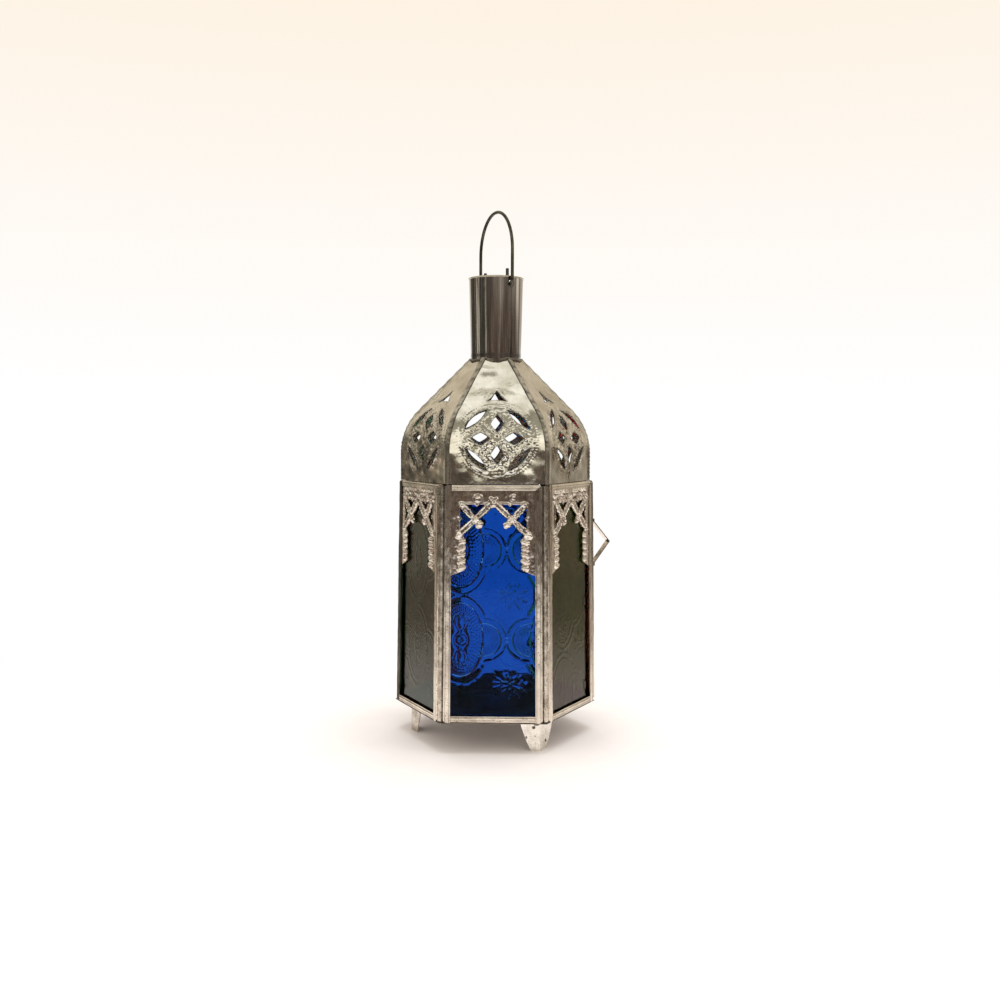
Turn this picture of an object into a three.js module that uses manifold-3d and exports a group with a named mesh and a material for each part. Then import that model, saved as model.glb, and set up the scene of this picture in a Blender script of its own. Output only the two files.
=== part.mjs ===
// A six-sided tin and glass lantern for a tea light, with a pierced dome, a hinged door and a wire bail.
// Millimetres, +Z up. The origin is on the ground under the middle of the lantern; the front looks along -Y.
import * as THREE from 'three';
import { mergeVertices } from 'three/addons/utils/BufferGeometryUtils.js';
import Module from 'manifold-3d';

const wasm = await Module();
wasm.setup();

// Stock that the lantern is made from
const tinSheet = 0.35;
const footSheet = 0.5;
const glassThickness = 1.3;
const wireRadius = 0.8;

// Running and seating gaps
const jointGap = 0.3; // between neighbouring panels, and between the dome and the panels
const seatGap = 0.2; // between a pane or fret and the lip that holds it
const solderGap = 0.1; // between two sheets soldered face to face
const bedGap = 0.3; // under and beside a pane in its channel
const pinGap = 0.25; // between the hinge pin and its knuckle

// Body: six panels, each a frame of folded tin channel round a pane
const panelWidth = 46.25; // at the top edge, across the panel's inner face
const panelHeight = 113.5;
const panelSpread = 1.75; // how much wider the panel is at its bottom edge
const channelDepth = 3.4; // front to back
const stileWidth = 3.3;
const topRailHeight = 2.6;
const bottomRailHeight = 3.2;
const channelRound = 0.5; // rounding of the channel's outer edges
const cornerChamfer = 1.1; // corners of a panel, snipped
const panelSides = 6;

// Pierced fret over the top of each pane. Depths are measured down from the panel's top edge.
const fretTop = 1.0;
const fretBandBottom = 9.2;
const fretSideBand = 7.375; // width of the plain band beside the pierced field
const fretFieldBottom = 22.5;
const fretPillarStep = 2.0; // how far the scalloped pillars stand in from the pierced field's sides
const fretScallopTop = 25.2;
const fretScallopBottom = 40.4;
const fretScallops = 5;
const fretScallopRise = 0.9;
const scallopSteps = 4;
const fretFootDrop = 3.2; // how much lower the pillar's slanted foot meets the stile
const fretBarHalf = 1.5;
const fretBarRise = 0.3; // the bars are pressed out in front of the sheet
const fretCrown = 7.8; // depth at which the long bars meet
const fretCuspRise = 1.0;
const fretCuspHalf = 1.2;
const fretNodeRadius = 1.5;
const barSteps = 3; // facets of a bar's rounded end
const nodeSteps = 6;
const longBarEnd = { beyond: 1.0, depth: 23.9 }; // beyond the pierced field's side
const shortBarStart = { beyond: -0.7, depth: 9.4 };
const shortBarEnd = { beyond: -9.0, depth: 18.7 };

// Dome: six petals, three of them lapped over the edges of the other three
const domeTurn = 2.4; // degrees that the dome sits turned on the body
const domeOverhang = 2.25; // how far its corners stand out beyond the panels' inner corners
const skirtHeight = 13.5;
const shoulderRadius = 31.0;
const domeHeight = 62.0; // up to where the corners would meet the neck
const domeTopRadius = 12.9;
const lapWidth = 1.5; // strip folded over the neighbour's edge
const lapRun = 1.2; // raised strip beside the seam
const lapRamp = 0.7; // slope up to the raised strip
const shoulderSteps = 8;

// Piercings of a petal, in the flat sheet: heights are measured along the sheet from its lower edge
const roundelHeight = 21.9;
const roundelRadius = 16.3;
const leafInner = 12.7; // nearest point of a leaf to the roundel's centre
const leafSpread = 28.0; // half angle that a leaf takes up, in degrees
const leafOuterSteps = 6;
const leafInnerSteps = 4;
const lozengeCentre = 8.0;
const lozengeLong = 4.5;
const lozengeWide = 3.1;
const lozengeBulge = 0.3;
const spearBase = 42.8;
const spearTip = 50.4;
const spearHalf = 4.9;
const spearWaist = 0.8; // how far the spear's sides are drawn in
const piercings = 4;

// Neck
const neckRadius = 12.67;
const neckTopRadius = 13.65;
const neckHeight = 39.6;
const neckTuck = 2.9; // length of the neck that goes down inside the dome
const hemRise = 0.45; // the rim is rolled over
const hemHeight = 1.0;
const hemRound = 0.2; // height of the slopes above and below the roll
const neckSides = 36;

// Bail
const bailTurn = 33.0; // degrees from the front towards the right at which the front hook sits
const hookDrop = 3.8; // from the rim down to the holes
const hookHoleRadius = 1.5;
const hookHoleSides = 12;
const hookTip = 7.5; // height of the hook's free end over the hole
const hookSpan = 4.6; // width of the hook's bend
const bailGap = 0.2; // between the leg and the rim
const bailRise = 36.5; // from the holes to the middle of the wire at the top
const bailStraight = 16.5; // height over the holes at which the legs start to curve in
const bailSteps = 60;
const hookShare = 0.2; // share of those steps spent on each hook
const wireSides = 8;

// Floor, candle cup and feet
const footHeight = 14.65;
const floorInset = 0.5; // floor plate's edge, in from the panels' outer faces
const cupRadius = 20.4;
const cupHeight = 7.0;
const cupRimRise = 0.5;
const cupSides = 36;
const footBelly = 0.7; // how far the slanted edge swells out
const footSteps = 4; // facets of that edge
// Inset is how far a foot's fold stands in from the panels' inner corners; wings as width at top and ground
const feet = {
  foot_front: { turn: -60, inset: 0.75, wings: [[9.9, 4.4], [13.4, 6.6]] },
  foot_back: { turn: 60, inset: 0.75, wings: [[9.9, 4.4], [13.4, 6.6]] },
  foot_left: { turn: -173, inset: 3.2, wings: [[10.4, 5.6], [9.1, 5.3]] },
};

// Door
const doorAjar = 1.5; // degrees that the door stands open
const pinRadius = 0.6;
const pinHeadRadius = 1.05;
const pinHeadHeight = 0.7;
const knuckleLength = 8.0;
const knuckleGap = 0.4;
const knuckleTab = 4.6; // leaf of the knuckle along the stile
const hingeInset = 18.0; // from the panel's ends to the middle of each hinge
const knuckleSides = 16;
const pinSides = 12;
const pullDrop = 31.8; // from the panel's top down to the pull's tip
const pullHalf = 10.6;
const pullReach = 10.0;
const pullWidth = 3.0;
const pullSheet = 0.5;
const pullTab = 1.6;

// Worked out from the above
const degree = Math.PI / 180;
const halfTurn = Math.PI / panelSides;
const floorTop = footHeight + tinSheet;
const panelBottom = floorTop + solderGap;
const panelTop = panelBottom + panelHeight;
const innerApothem = panelWidth / (2 * Math.tan(halfTurn));
const halfPanel = (panelWidth - jointGap) / 2;
const fretFront = channelDepth - tinSheet - seatGap;
const fretHoleHalf = halfPanel - fretSideBand;
const fretPillarHalf = fretHoleHalf - fretPillarStep;
const domeRadius = panelWidth + domeOverhang; // over the corners, outside
const domeBottom = panelTop + jointGap;
const neckBottom = domeBottom + domeHeight - neckTuck;
const neckTop = domeBottom + domeHeight + neckHeight;
const holeHeight = neckTop - hookDrop;
const spill = 2; // how far a cutter reaches past what it cuts

const clear = { roughness: 0.08, transparent: true, opacity: 0.6 };
const materials = {
  tin: new THREE.MeshStandardMaterial({ color: 0xb8ab98, roughness: 0.42, metalness: 1 }),
  domeTin: new THREE.MeshStandardMaterial({ color: 0xcfc4b0, roughness: 0.25, metalness: 1 }),
  neckTin: new THREE.MeshStandardMaterial({ color: 0x9a8d80, roughness: 0.2, metalness: 1 }),
  wire: new THREE.MeshStandardMaterial({ color: 0x33322a, roughness: 0.5, metalness: 1 }),
  blueGlass: new THREE.MeshStandardMaterial({ color: 0x16459b, ...clear }),
  redGlass: new THREE.MeshStandardMaterial({ color: 0x7d0f18, ...clear }),
  greenGlass: new THREE.MeshStandardMaterial({ color: 0x14602c, ...clear }),
};

// The flare: how much wider the body is at height z than at its top
function flareAt(z) {
  return 1 + ((panelSpread / panelWidth) * (panelTop - z)) / panelHeight;
}

// Spreads a body piece, given in its panel's frame, by the flare
function flared(geometry) {
  const position = geometry.attributes.position;
  for (let i = 0; i < position.count; i += 1) {
    const wider = flareAt(position.getZ(i));
    position.setX(i, position.getX(i) * wider);
    position.setY(i, position.getY(i) * wider);
  }
  return geometry;
}

// Geometry with shared vertices and nothing but positions
function welded(geometry) {
  const plain = geometry.clone();
  plain.deleteAttribute('normal');
  plain.deleteAttribute('uv');
  return mergeVertices(plain, 1e-4);
}

function toSolid(geometry) {
  const closed = welded(geometry);
  const vertProperties = new Float32Array(closed.attributes.position.array);
  const triVerts = new Uint32Array(closed.index.array);
  return new wasm.Manifold(new wasm.Mesh({ numProp: 3, vertProperties, triVerts }));
}

function toGeometry(solid) {
  const mesh = solid.getMesh();
  const geometry = new THREE.BufferGeometry();
  geometry.setAttribute('position', new THREE.BufferAttribute(new Float32Array(mesh.vertProperties), 3));
  geometry.setIndex(new THREE.BufferAttribute(new Uint32Array(mesh.triVerts), 1));
  geometry.computeVertexNormals();
  return geometry;
}

function extruded(shape, depth, curveSegments = 1) {
  return new THREE.ExtrudeGeometry(shape, { depth, curveSegments, bevelEnabled: false });
}

function shapeOf(points) {
  return new THREE.Shape(points.map(([x, y]) => new THREE.Vector2(x, y)));
}

// A plate standing in the panel's plane: the shape gives x and z, and the plate runs outwards from `back` to
// `front`, both measured from the panels' inner face
function standing(shape, back, front, curveSegments) {
  const plate = extruded(shape, front - back, curveSegments);
  plate.rotateX(Math.PI / 2);
  plate.translate(0, -(innerApothem + back), 0);
  return plate;
}

// Outline of a strip of sheet of the given thickness along a bent middle line
function ribbon(line, thickness) {
  const points = line.map(([x, y]) => new THREE.Vector2(x, y));
  const sideNormal = (from, to) => new THREE.Vector2(from.y - to.y, to.x - from.x).normalize();
  const offsets = points.map((point, i) => {
    const before = i > 0 ? sideNormal(points[i - 1], point) : sideNormal(point, points[i + 1]);
    const after = i < points.length - 1 ? sideNormal(point, points[i + 1]) : before;
    const middle = before.clone().add(after).normalize();
    return middle.multiplyScalar(thickness / 2 / middle.dot(before));
  });
  const left = points.map((point, i) => point.clone().add(offsets[i]));
  const right = points.map((point, i) => point.clone().sub(offsets[i]));
  return new THREE.Shape([...left, ...right.reverse()]);
}

// Folded tin channel of the given length along +Z: its web lies at x = 0 and its lips reach to x = width.
// y runs from 0, the outer face, to channelDepth, the inner face.
function channel(length, width) {
  const round = channelRound;
  const half = tinSheet / 2;
  const line = [
    [width, half],
    [round, half],
    [half, round],
    [half, channelDepth - round],
    [round, channelDepth - half],
    [width, channelDepth - half],
  ];
  return extruded(ribbon(line, tinSheet), length);
}

// Wedges that snip a panel's corner and mitre its top right joint, as plates standing in the panel's plane
function cutter(points) {
  return toSolid(standing(shapeOf(points), -spill, channelDepth + spill));
}

function cornerSnip(side, z, up) {
  const edge = side * halfPanel;
  return cutter([
    [edge - side * cornerChamfer, z],
    [edge, z - up * cornerChamfer],
    [edge + side * spill, z - up * cornerChamfer],
    [edge + side * spill, z + up * spill],
    [edge - side * cornerChamfer, z + up * spill],
  ]);
}

// The mitre runs from the panel's top right corner to the inner corner of stile and rail
function mitreSide(above) {
  const slope = topRailHeight / stileWidth;
  const shift = above ? -solderGap : solderGap;
  const outer = [halfPanel + spill, panelTop + spill * slope + shift];
  const inner = [halfPanel - stileWidth - spill, panelTop - topRailHeight - spill * slope + shift];
  const far = panelTop + (above ? stileWidth : -stileWidth) * spill;
  return cutter([inner, outer, [outer[0], far], [inner[0], far]]);
}

function stile(side) {
  const bar = channel(panelHeight, stileWidth);
  bar.translate(-halfPanel, -(innerApothem + channelDepth), panelBottom);
  if (side > 0) {
    bar.rotateZ(Math.PI);
    bar.translate(0, -(2 * innerApothem + channelDepth), 0);
  }
  let solid = toSolid(bar).subtract(cornerSnip(side, panelBottom, -1));
  solid = solid.subtract(cornerSnip(side, panelTop, 1));
  if (side > 0) {
    solid = solid.subtract(mitreSide(true));
  }
  return flared(toGeometry(solid));
}

function topRail() {
  const left = -halfPanel + stileWidth + solderGap;
  const rail = channel(halfPanel - left, topRailHeight);
  rail.rotateY(Math.PI / 2);
  rail.translate(left, -(innerApothem + channelDepth), panelTop);
  const solid = toSolid(rail).subtract(mitreSide(false)).subtract(cornerSnip(1, panelTop, 1));
  return flared(toGeometry(solid));
}

function bottomRail() {
  const length = 2 * (halfPanel - stileWidth - solderGap);
  const rail = channel(length, bottomRailHeight);
  rail.rotateY(-Math.PI / 2);
  rail.translate(length / 2, -(innerApothem + channelDepth), panelBottom);
  return flared(welded(rail));
}

function pane() {
  const width = 2 * (halfPanel - tinSheet - bedGap);
  const height = panelHeight - 2 * (tinSheet + bedGap);
  const glass = new THREE.BoxGeometry(width, glassThickness, height);
  const back = innerApothem + tinSheet + seatGap;
  glass.translate(0, -(back + glassThickness / 2), panelBottom + panelHeight / 2);
  return flared(welded(glass));
}

// Fret: a sheet with an arched opening below a band, and pressed bars across it

// Three points of a small pointed cusp halfway between two corners, standing `rise` to the left of the edge
function cusp(from, to) {
  const edge = new THREE.Vector2(to[0] - from[0], to[1] - from[1]).normalize();
  const middle = [(from[0] + to[0]) / 2, (from[1] + to[1]) / 2];
  return [
    [middle[0] - edge.x * fretCuspHalf, middle[1] - edge.y * fretCuspHalf],
    [middle[0] + edge.y * fretCuspRise, middle[1] - edge.x * fretCuspRise],
    [middle[0] + edge.x * fretCuspHalf, middle[1] + edge.y * fretCuspHalf],
  ];
}

// Right half of the opening, from the middle of the band down to the foot of the pillar, as x and height over
// the panel's top
function fretHalfOutline() {
  const bandMiddle = [0, -fretBandBottom];
  const bandCorner = [fretHoleHalf, -fretBandBottom];
  const fieldCorner = [fretHoleHalf, -fretFieldBottom];
  const points = [bandMiddle, ...cusp(bandMiddle, bandCorner), bandCorner];
  points.push(...cusp(bandCorner, fieldCorner), fieldCorner);
  const pitch = (fretScallopBottom - fretScallopTop) / fretScallops;
  for (let i = 0; i < fretScallops; i += 1) {
    const middle = -fretScallopTop - pitch * (i + 0.5);
    const arc = [Math.PI / 2, 1.5 * Math.PI];
    const bead = new THREE.EllipseCurve(fretPillarHalf, middle, fretScallopRise, pitch / 2, ...arc);
    const ring = bead.getPoints(scallopSteps);
    points.push(...ring.slice(i === 0 ? 0 : 1).map((point) => [point.x, point.y]));
  }
  const slant = fretFootDrop / (halfPanel - stileWidth - fretPillarHalf);
  const edge = halfPanel + spill;
  points.push([edge, -fretScallopBottom - slant * (edge - fretPillarHalf)]);
  return points;
}

function bar(from, to) {
  const along = Math.atan2(from.depth - to.depth, to.x - from.x);
  const shape = new THREE.Shape();
  shape.absarc(from.x, -from.depth, fretBarHalf, along + Math.PI / 2, along + 1.5 * Math.PI);
  shape.absarc(to.x, -to.depth, fretBarHalf, along - Math.PI / 2, along + Math.PI / 2);
  return shape;
}

function fret() {
  const back = fretFront - tinSheet;
  const half = halfPanel - tinSheet - bedGap;
  const right = fretHalfOutline();
  const foot = right[right.length - 1];
  const left = right.slice(1).map(([x, z]) => [-x, z]);
  const below = foot[1] - spill;
  const opening = shapeOf([...right, [foot[0], below], [-foot[0], below], ...left.reverse()]);
  const sheet = shapeOf([
    [-half, -fretTop],
    [-half, foot[1]],
    [half, foot[1]],
    [half, -fretTop],
  ]);
  let solid = toSolid(standing(sheet, back, fretFront));
  solid = solid.subtract(toSolid(standing(opening, back - spill, fretFront + spill)));
  const crown = { x: 0, depth: fretCrown };
  for (const side of [-1, 1]) {
    const beside = (point) => ({ x: side * (fretHoleHalf + point.beyond), depth: point.depth });
    const longBar = bar(crown, beside(longBarEnd));
    const shortBar = bar(beside(shortBarStart), beside(shortBarEnd));
    for (const shape of [longBar, shortBar]) {
      solid = solid.add(toSolid(standing(shape, back, fretFront + fretBarRise, barSteps)));
    }
  }
  const node = new THREE.Shape();
  node.absarc(0, -fretCrown - fretNodeRadius, fretNodeRadius, 0, 2 * Math.PI);
  solid = solid.add(toSolid(standing(node, back, fretFront + fretBarRise, nodeSteps)));
  const geometry = toGeometry(solid);
  geometry.translate(0, 0, panelTop);
  return flared(geometry);
}

// Dome

// The petal's meridian, outside of the laps, as radius to the middle of the petal and height over the dome's
// foot. The corners follow a skirt, a round shoulder and a straight slope that touches it; the middle is
// nearer the axis.
function domeMeridian() {
  const centre = new THREE.Vector2(domeRadius - shoulderRadius, skirtHeight);
  const top = new THREE.Vector2(domeTopRadius, domeHeight);
  const reach = top.clone().sub(centre);
  const touch = Math.atan2(reach.y, reach.x) - Math.acos(shoulderRadius / reach.length());
  const narrow = Math.cos(halfTurn);
  const touchPoint = new THREE.Vector2(
    (centre.x + shoulderRadius * Math.cos(touch)) * narrow,
    centre.y + shoulderRadius * Math.sin(touch),
  );
  const path = new THREE.CurvePath();
  const foot = new THREE.Vector2(domeRadius * narrow, 0);
  path.add(new THREE.LineCurve(foot, new THREE.Vector2(domeRadius * narrow, skirtHeight)));
  const shoulderReach = shoulderRadius * narrow;
  path.add(new THREE.EllipseCurve(centre.x * narrow, centre.y, shoulderReach, shoulderRadius, 0, touch));
  path.add(new THREE.LineCurve(touchPoint, new THREE.Vector2(domeTopRadius * narrow, domeHeight)));
  return path;
}

const meridian = domeMeridian();
const meridianLength = meridian.getLength();

// Radius, height and outward normal of the meridian at a distance along the sheet
function meridianAt(run) {
  const share = Math.min(Math.max(run / meridianLength, 0), 1);
  const point = meridian.getPoint(share);
  const tangent = meridian.getTangent(share);
  return { point, normal: new THREE.Vector2(tangent.y, -tangent.x) };
}

// A point of the front petal: x across it, run along it, lift outwards from its lapped outside
function onPetal(x, run, lift) {
  const { point, normal } = meridianAt(run);
  return new THREE.Vector3(x, -(point.x + lift * normal.x), domeBottom + point.y + lift * normal.y);
}

// Half width of the petal between its corners at a distance along the sheet
function petalHalf(run, lift) {
  const { point, normal } = meridianAt(run);
  return (point.x + lift * normal.x) * Math.tan(halfTurn);
}

// Mirror of a point in the upright plane through the axis and the petal's right corner
function acrossSeam(point) {
  const plane = new THREE.Vector3(Math.cos(halfTurn), Math.sin(halfTurn), 0);
  return point.clone().addScaledVector(plane, -2 * point.dot(plane));
}

const lapLift = -tinSheet; // underside of a lap
const sheetLift = -2 * tinSheet - seatGap; // inside of the petal's sheet is one sheet lower still
const sheetOutside = sheetLift + tinSheet;

// Right half of a petal's section, from the middle inside round to the middle outside
function lappedHalf(run) {
  const edge = petalHalf(run, lapLift);
  const flat = edge - lapRun - lapRamp;
  const overNeighbour = (lift) => acrossSeam(onPetal(petalHalf(run, lift) - lapWidth, run, lift));
  return [
    onPetal(flat, run, sheetLift),
    onPetal(edge - lapRun, run, lapLift),
    onPetal(edge, run, lapLift),
    overNeighbour(lapLift),
    overNeighbour(0),
    onPetal(petalHalf(run, 0), run, 0),
    onPetal(edge - lapRun, run, 0),
    onPetal(flat, run, sheetOutside),
  ];
}

function plainHalf(run) {
  const edge = petalHalf(run, sheetLift) - jointGap / 2;
  return [onPetal(edge, run, sheetLift), onPetal(edge, run, sheetOutside)];
}

// Solid through a row of closed sections that have the same number of points, run anticlockwise seen from
// above and are stacked upwards
function lofted(sections) {
  const count = sections[0].length;
  const positions = sections.flat().flatMap((point) => point.toArray());
  const indices = [];
  for (let row = 0; row < sections.length - 1; row += 1) {
    for (let i = 0; i < count; i += 1) {
      const near = row * count + i;
      const next = row * count + ((i + 1) % count);
      indices.push(near, next, next + count, near, next + count, near + count);
    }
  }
  const last = (sections.length - 1) * count;
  const flat = (section) => section.map((point) => new THREE.Vector2(point.x, point.y));
  for (const [a, b, c] of THREE.ShapeUtils.triangulateShape(flat(sections[0]), [])) {
    indices.push(a, c, b);
  }
  for (const [a, b, c] of THREE.ShapeUtils.triangulateShape(flat(sections[sections.length - 1]), [])) {
    indices.push(last + a, last + b, last + c);
  }
  const geometry = new THREE.BufferGeometry();
  geometry.setAttribute('position', new THREE.Float32BufferAttribute(positions, 3));
  geometry.setIndex(indices);
  return geometry;
}

// Punch for a hole drawn on the flat sheet, as a solid that passes square through the bent petal
function punch(outline) {
  const loop = outline.map(([x, run]) => new THREE.Vector2(x, run));
  if (THREE.ShapeUtils.area(loop) < 0) {
    loop.reverse();
  }
  const count = loop.length;
  const inner = loop.map((point) => onPetal(point.x, point.y, sheetLift - spill));
  const outer = loop.map((point) => onPetal(point.x, point.y, spill));
  const indices = [];
  for (const [a, b, c] of THREE.ShapeUtils.triangulateShape(loop, [])) {
    indices.push(a, c, b, count + a, count + b, count + c);
  }
  for (let i = 0; i < count; i += 1) {
    const next = (i + 1) % count;
    indices.push(i, next, count + next, i, count + next, count + i);
  }
  const geometry = new THREE.BufferGeometry();
  const positions = [...inner, ...outer].flatMap((point) => point.toArray());
  geometry.setAttribute('position', new THREE.Float32BufferAttribute(positions, 3));
  geometry.setIndex(indices);
  return toSolid(geometry);
}

function roundelPoint(radius, angle) {
  return [radius * Math.cos(angle), roundelHeight + radius * Math.sin(angle)];
}

// Leaf between the roundel's ring and its outer bars
function leaf(angle) {
  const spread = leafSpread * degree;
  const points = [];
  for (let i = 0; i <= leafOuterSteps; i += 1) {
    points.push(roundelPoint(roundelRadius, angle - spread + (2 * spread * i) / leafOuterSteps));
  }
  const chord = roundelRadius * Math.cos(spread);
  const bulge = new THREE.Vector2(...roundelPoint(2 * leafInner - chord, angle));
  const start = new THREE.Vector2(...points[leafOuterSteps]);
  const end = new THREE.Vector2(...points[0]);
  const inside = new THREE.QuadraticBezierCurve(start, bulge, end).getPoints(leafInnerSteps);
  points.push(...inside.slice(1, -1).map((point) => [point.x, point.y]));
  return points;
}

// Lozenge with slightly swelling sides, its long way pointing at the roundel's centre
function lozenge(angle) {
  const turn = new THREE.Vector2(Math.cos(angle), Math.sin(angle));
  const place = (along, across) => [
    turn.x * along - turn.y * across,
    roundelHeight + turn.y * along + turn.x * across,
  ];
  const points = [];
  for (const [longWay, wideWay] of [[1, 0], [0, 1], [-1, 0], [0, -1]]) {
    points.push(place(lozengeCentre + lozengeLong * longWay, lozengeWide * wideWay));
    const half = [(longWay - wideWay) / 2, (wideWay + longWay) / 2];
    const swell = 1 + lozengeBulge / lozengeWide;
    points.push(place(lozengeCentre + lozengeLong * half[0] * swell, lozengeWide * half[1] * swell));
  }
  return points;
}

// Spearhead over the roundel, with its three sides drawn in
function spear() {
  const middle = (spearTip + spearBase) / 2;
  return [
    [0, spearTip],
    [-spearHalf / 2 + spearWaist, middle - spearWaist / 2],
    [-spearHalf, spearBase],
    [0, spearBase + spearWaist],
    [spearHalf, spearBase],
    [spearHalf / 2 - spearWaist, middle - spearWaist / 2],
  ];
}

function petal(lapped) {
  const shoulderLength = meridian.curves[1].getLength();
  const runs = [0];
  for (let i = 0; i <= shoulderSteps; i += 1) {
    runs.push(skirtHeight + (shoulderLength * i) / shoulderSteps);
  }
  runs.push(meridianLength);
  const sections = runs.map((run) => {
    const right = lapped ? lappedHalf(run) : plainHalf(run);
    const left = right.map((point) => new THREE.Vector3(-point.x, point.y, point.z)).reverse();
    return [...right, ...left].reverse();
  });
  const spaceRadius = neckRadius + jointGap;
  const neckSpace = new THREE.CylinderGeometry(spaceRadius, spaceRadius, domeHeight, neckSides);
  neckSpace.rotateX(Math.PI / 2);
  neckSpace.translate(0, 0, domeBottom + domeHeight);
  let solid = toSolid(lofted(sections)).subtract(toSolid(neckSpace));
  for (let i = 0; i < piercings; i += 1) {
    const square = (2 * Math.PI * i) / piercings;
    solid = solid.subtract(punch(lozenge(square)));
    solid = solid.subtract(punch(leaf(square + Math.PI / piercings)));
  }
  solid = solid.subtract(punch(spear()));
  return toGeometry(solid);
}

function neck() {
  const topOutside = neckTopRadius + hemRise;
  const profile = [
    [neckRadius - tinSheet, neckBottom],
    [neckRadius, neckBottom],
    [neckTopRadius, neckTop - hemHeight],
    [topOutside, neckTop - hemHeight + hemRound],
    [topOutside, neckTop - hemRound],
    [neckTopRadius, neckTop],
    [neckTopRadius - tinSheet, neckTop],
    [neckRadius - tinSheet, neckBottom],
  ];
  const tube = new THREE.LatheGeometry(profile.map(([r, z]) => new THREE.Vector2(r, z)), neckSides);
  tube.rotateX(Math.PI / 2);
  const drillLength = 2 * (topOutside + spill);
  const drill = new THREE.CylinderGeometry(hookHoleRadius, hookHoleRadius, drillLength, hookHoleSides);
  drill.rotateZ(bailTurn * degree);
  drill.translate(0, 0, holeHeight);
  return toGeometry(toSolid(tube).subtract(toSolid(drill)));
}

// Middle line of the bail's wire, in its own plane: from one hook's tip over the top to the other's.
// It gives its points by its own steps, which lie closer together round the hooks.
class BailCurve extends THREE.Curve {
  constructor() {
    super();
    const legRadius = neckTopRadius + hemRise + bailGap + wireRadius;
    const bend = hookSpan / 2;
    const hook = new THREE.CurvePath();
    const tip = new THREE.Vector2(legRadius - hookSpan, hookTip);
    hook.add(new THREE.LineCurve(tip, new THREE.Vector2(legRadius - hookSpan, bend)));
    hook.add(new THREE.EllipseCurve(legRadius - bend, bend, bend, bend, Math.PI, 2 * Math.PI));
    const arch = new THREE.CurvePath();
    const foot = new THREE.Vector2(legRadius, bend);
    arch.add(new THREE.LineCurve(foot, new THREE.Vector2(legRadius, bailStraight)));
    arch.add(new THREE.EllipseCurve(0, bailStraight, legRadius, bailRise - bailStraight, 0, Math.PI / 2));
    this.hook = hook;
    this.arch = arch;
  }

  getPoint(share) {
    const near = Math.min(share, 1 - share);
    const along = near < hookShare ? near / hookShare : (near - hookShare) / (0.5 - hookShare);
    const flat = (near < hookShare ? this.hook : this.arch).getPoint(Math.min(along, 1));
    const out = share < 0.5 ? flat.x : -flat.x;
    const turn = bailTurn * degree;
    return new THREE.Vector3(out * Math.sin(turn), -out * Math.cos(turn), holeHeight + flat.y);
  }

  getPointAt(share) {
    return this.getPoint(share);
  }

  getTangentAt(share) {
    return this.getTangent(share);
  }
}

function bail() {
  const section = new THREE.Shape();
  section.absarc(0, 0, wireRadius, 0, 2 * Math.PI);
  const curve = { steps: bailSteps, extrudePath: new BailCurve(), curveSegments: wireSides / 2 };
  return welded(new THREE.ExtrudeGeometry(section, { ...curve, bevelEnabled: false }));
}

function floorPlate() {
  const apothem = (innerApothem + channelDepth) * flareAt(panelBottom) - floorInset;
  const corner = apothem / Math.cos(halfTurn);
  const points = [];
  for (let i = 0; i < panelSides; i += 1) {
    const angle = 2 * halfTurn * i;
    points.push([corner * Math.cos(angle), corner * Math.sin(angle)]);
  }
  const geometry = extruded(shapeOf(points), tinSheet);
  geometry.translate(0, 0, footHeight);
  return welded(geometry);
}

function candleCup() {
  const profile = [
    [0, 0],
    [cupRadius, 0],
    [cupRadius, cupHeight - cupRimRise],
    [cupRadius + cupRimRise, cupHeight - cupRimRise / 2],
    [cupRadius + cupRimRise / 2, cupHeight],
    [cupRadius - tinSheet, cupHeight],
    [cupRadius - tinSheet, tinSheet],
    [0, tinSheet],
  ];
  const cup = new THREE.LatheGeometry(profile.map(([r, z]) => new THREE.Vector2(r, z)), cupSides);
  cup.rotateX(Math.PI / 2);
  cup.translate(0, 0, floorTop + solderGap);
  return toGeometry(toSolid(cup));
}

// Foot: a strip folded to the body's corner, its wings narrower at the ground
function foot({ inset, wings }) {
  const top = footHeight - solderGap;
  const wing = (side, [topWidth, groundWidth]) => {
    const outline = new THREE.Shape();
    outline.moveTo(0, 0);
    outline.lineTo(groundWidth, 0);
    const middle = (groundWidth + topWidth) / 2 + footBelly;
    outline.quadraticCurveTo(middle, top / 2, topWidth, top);
    outline.lineTo(0, top);
    outline.closePath();
    const sheet = extruded(outline, footSheet, footSteps);
    sheet.rotateX(Math.PI / 2);
    if (side > 0) {
      sheet.translate(0, footSheet, 0);
    }
    sheet.rotateZ(side * (Math.PI / 2 + halfTurn));
    return toSolid(sheet);
  };
  const geometry = toGeometry(wing(-1, wings[0]).add(wing(1, wings[1])));
  geometry.translate(panelWidth - inset, 0, 0);
  return geometry;
}

// Hinge, in the frame of the panel whose edge it stands beside. Its axis lies in the groove between two
// panels.
const knuckleRadius = pinRadius + pinGap + tinSheet;
const hingeOut = channelDepth + solderGap + tinSheet - knuckleRadius;
const hingeBeyond = hingeOut * Math.tan(halfTurn);
const hingeStations = {
  upper: panelTop - hingeInset,
  lower: panelBottom + hingeInset,
};

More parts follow.
